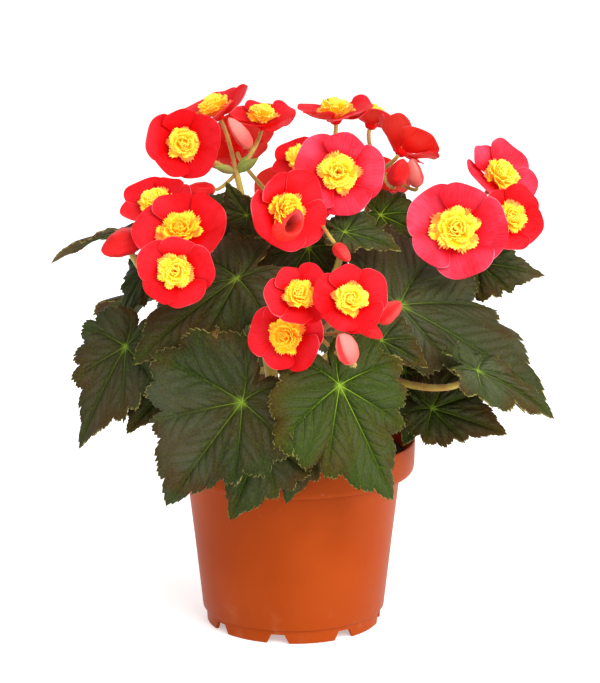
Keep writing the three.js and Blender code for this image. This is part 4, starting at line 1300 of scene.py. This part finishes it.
# In a bloom of the usual radius, from the outermost small petal to the innermost: the distance from the axis
# and the height where it starts, where it bends and where it ends, and its width.
RUFFLE_PATHS = np.array([
    [3.6, 1.0, 7.6, 3.4, 13.4, 4.6, 7.4],
    [3.2, 1.6, 7.2, 6.0, 11.4, 7.2, 7.4],
    [2.6, 2.2, 6.2, 8.4, 8.6, 9.4, 6.8],
    [2.0, 3.0, 4.8, 9.8, 4.4, 11.0, 5.8],
    [1.0, 3.6, 2.6, 9.4, 0.2, 10.6, 5.0],
])
# How orange a centre is: 0 is lemon yellow all over, 1 is orange in all but its top.
ORANGE_CENTRES = {"a1": 0.5, "a2": 0.3, "e1": 0.1, "e2": 0.9, "f1": 0.5, "f3": 1.0, "b3": 0.8, "d3": 0.5}
USUAL_ORANGE = 0.15
ruffle_chance = np.random.default_rng(23)


def ruffle_of(key, bloom):
    _, facing, radius, cup, spin = bloom
    size = radius / USUAL_RADIUS
    made = []
    for number in range(RUFFLES):
        level = number / (RUFFLES - 1)
        path = [np.interp(level * 4, range(5), column) for column in RUFFLE_PATHS.T]
        start, bend, end = np.array(path[:6]).reshape(3, 2)
        jitter, tilt, curl, longer, wider, phase, rise, frill = ruffle_chance.uniform(-1, 1, 8)
        end = end + [1.5 * longer, 1.2 * rise]
        width = path[6] * (1 + 0.22 * wider)
        mesh = ruffle_grid.data.copy()
        square = points_of(mesh)
        across, out = square[:, 1], (square[:, 0] + 1) / 2
        scallop = 0.5 - 0.5 * np.cos((5.4 + frill) * math.pi * across + 3 * phase)
        frayed = (0.16 + 0.07 * curl) * scallop * ease(out, 0.5, 1)
        s = out * (1 - (0.24 + 0.1 * jitter) * np.abs(across) ** 2.4 - frayed)
        place = bezier([start, bend, end], s)
        heading = units((1 - s)[:, None] * (bend - start) + s[:, None] * (end - bend))
        half = 0.5 * width * across * (0.3 + 0.7 * ease(s, 0.0, 0.7))
        wave = np.sin((2.6 + 0.6 * frill) * math.pi * across + 3 * phase) * ease(s, 0.35, 1)
        off = 0.4 * tilt * half + 0.1 * (1 + curl) * half * half * ease(s, 0.1, 0.8) + 0.4 * wave
        x = (place[:, 0] - off * heading[:, 1]) * size / (1 + 0.3 * cup)
        z = place[:, 1] + off * heading[:, 0]
        z = 0.7 + (z - 0.7) * (0.6 + 0.4 * size) * (1 + 0.25 * cup)
        petal = np.stack([x, half * size, z], axis=1)
        angle = math.radians(SPIRAL_STEP * number + 18 * jitter)
        petal = turned(petal, angle + math.radians(spin))
        if key == ROLLED_PETAL_ON:
            from_hollow = np.linalg.norm(petal[:, :2] - ROLLED_CENTRE, axis=1)
            petal[:, 2] = np.minimum(petal[:, 2], np.interp(from_hollow, [4.6, 6], [2, 10.4]))
        set_points(mesh, in_frame(petal, bloom_base(bloom), facing, 0))
        edge = np.maximum(np.abs(across), 2 * out - 1)
        set_values(mesh, petal_out=s, petal_across=level, petal_edge=edge, petal_tone=0.5 + 0.5 * tilt)
        set_values(mesh, orange_share=ORANGE_CENTRES.get(key, USUAL_ORANGE))
        made.append(new_object("ruffle", mesh))
    return join("centre_" + key, made)


# %% [markdown]
# The ruffle is clear yellow and turns orange towards the foot of each small petal, more in a ripe bloom.
# That orange is partly their own colour and partly painted shade of the deep folds. Their ends are paler, a
# painted highlight at the top of the dome, and the whole ruffle glows faintly in its own colour, a painted
# light for the light that comes through it. The frayed tips of the outermost small petals are tinged with
# the pink and red of the petals, and so are their backs.

# %% Ruffle finishes


def ruffle_finish(name, yellow, light, foot, tip, tip_share):
    # Painted light: a faint glow in the ruffle's own colour stands in for light coming through it.
    ruffle = Finish(name, Specular_IOR_Level=0.06, Emission_Strength=0.22)
    out, level = ruffle.stored("petal_out"), ruffle.stored("petal_across")
    edge, tone_share = ruffle.stored("petal_edge"), ruffle.stored("petal_tone")
    cloud = ruffle.noise(160, 3)
    ripe = ruffle.stored("orange_share")
    outermost = 1 - level.between(0.05, 0.45)
    tipped = outermost * (0.4 + 0.6 * out.between(0.4, 0.9)) * cloud.between(0.4, 0.52)
    tone = ruffle.layers(
        yellow,
        (tone_share * 0.6, light),
        ((0.35 + 0.4 * cloud.between(0.4, 0.7)) * ripe, "#fba010"),
        # Orange at the foot: partly the small petals' own colour, partly painted shade in the deep folds.
        ((1 - out.between(0.15, 0.6)) * (0.3 + 0.6 * ripe), foot),
        # Painted highlight: the ends of the small petals, at the top of the dome, are paler.
        (out.between(0.6, 1.0) * (0.3 + 0.5 * cloud) * (1 - 0.8 * ripe), "#fdf07c"),
        (tipped * tip_share, tip),
    )
    ruffle.set(Base_Color=tone, Emission_Color=tone, Roughness=0.45 + 0.15 * cloud)
    ruffle.bump(cloud + 0.4 * ruffle.noise(900, 2), 0.3, 0.25)
    return ruffle


ruffle_face = ruffle_finish("ruffle_face", "#fae022", "#fcee54", "#ee9410", "#ee5a3c", 0.85)
ruffle_back = ruffle_finish("ruffle_back", "#f6b41c", "#f8c62c", "#ea6410", "#e6341c", 0.95)

# %% Building all ruffles
for key, bloom in ALL_BLOOMS.items():
    centre = ruffle_of(key, bloom)
    thicken(centre, ruffle_face, ruffle_back, RUFFLE_THICKNESS)
    shade_smooth(centre)
    part_of_plant(centre, "petal_yellow", "centre_" + key)
bpy.data.objects.remove(ruffle_grid)
print("blooms with centres:", len(ALL_BLOOMS))

# %% [markdown]
# ## The buds
#
# A bud is two petals pressed face to face, like a closed purse. It starts as a ball with its poles at the
# base and the tip, is drawn out to a drop, flattened, and creased along the seam where the petals meet. The
# seam stays red when a bud turns pale.

# %% Buds
BUD_PROFILE = [
    (0, 0), (0.07, 0.26), (0.16, 0.4), (0.36, 0.5), (0.68, 0.42), (0.88, 0.26), (0.97, 0.12), (1, 0),
]
BUD_HEIGHTS, BUD_WIDTHS = np.array(BUD_PROFILE).T
# How pale each bud is: 0 is dark scarlet, 1 the pink of one that is nearly white.
PALE_BUDS = {"e": 0, "f1": 0.6, "f2": 0, "f3": 0.1, "a": 0.7, "a_low": 0, "b": 0.1, "c": 0, "c_pale": 0.8}
# How far a bud is turned about its own length, in degrees, where it is.
BUD_TURNS = {"f1": 100, "a": 100}
# How narrow the seam's crease is, and how wide its red edge.
BUD_SEAM = 0.22
BUD_RED_EDGE = 0.5


def bud_piece(key, base, tip, width):
    obj = added(bpy.ops.mesh.primitive_uv_sphere_add, segments=40, ring_count=26, radius=MM)
    ball = points_of(obj.data)
    length = np.linalg.norm(np.subtract(tip, base))
    share = np.clip((ball[:, 2] + 1) / 2, 0, 1)
    round_share = np.hypot(ball[:, 0], ball[:, 1])
    angle = np.arctan2(ball[:, 1], ball[:, 0])
    half = np.interp(share, BUD_HEIGHTS, BUD_WIDTHS) * width
    seam = np.exp(-((np.sin(angle) / BUD_SEAM) ** 2)) * ease(share, 0.05, 0.3)
    half = np.where(round_share < 1e-6, 0, half) * (1 - 0.1 * seam)
    half += 0.02 * width * np.sin(3 * angle + 5 * share) * ease(share, 0.1, 0.4) * (round_share > 1e-6)
    points = np.stack([half * np.cos(angle), 0.75 * half * np.sin(angle), share * length], axis=1)
    turn = BUD_TURNS.get(key, 0)
    set_points(obj.data, in_frame(points, np.array(base, float), np.subtract(tip, base), turn))
    red_edge = np.exp(-((np.sin(angle) / BUD_RED_EDGE) ** 2)) * ease(share, 0.05, 0.3)
    set_values(obj.data, petal_out=share, petal_across=red_edge, petal_edge=0, petal_tone=PALE_BUDS[key])
    obj.name = obj.data.name = "bud_" + key
    coat(obj, bud_skin)
    shade_smooth(obj)
    part_of_plant(obj, "bud_red", "bud_" + key)


# Painted light: the bud glows faintly in its own colour, standing in for light coming through it.
bud_skin = Finish("bud_skin", Specular_IOR_Level=0.1, Emission_Strength=0.05)
out, seam = bud_skin.stored("petal_out"), bud_skin.stored("petal_across")
pale = bud_skin.stored("petal_tone")
cloud = bud_skin.noise(120, 3)
tone = bud_skin.layers(
    "#c4141a",
    (cloud.between(0.35, 0.65) * 0.6, "#de2420"),
    (pale * (0.7 + 0.3 * cloud), "#ee7a70"),
    (pale * out.between(0.2, 0.7) * 0.5 * (1 - seam), "#f4aca0"),
    ((1 - out.between(0.02, 0.2)) * 0.7, "#b8863a"),
    (seam.between(0.25, 0.8) * 0.8, "#d81e22"),
)
bud_skin.set(Base_Color=tone, Emission_Color=tone, Roughness=0.4 + 0.15 * cloud)
bud_skin.bump(cloud + bud_skin.noise(600, 2), 0.2, 0.3)
for buds in BUDS.values():
    for key, (base, tip, width) in buds.items():
        bud_piece(key, base, tip, width)
print("buds:", sum(map(len, BUDS.values())))
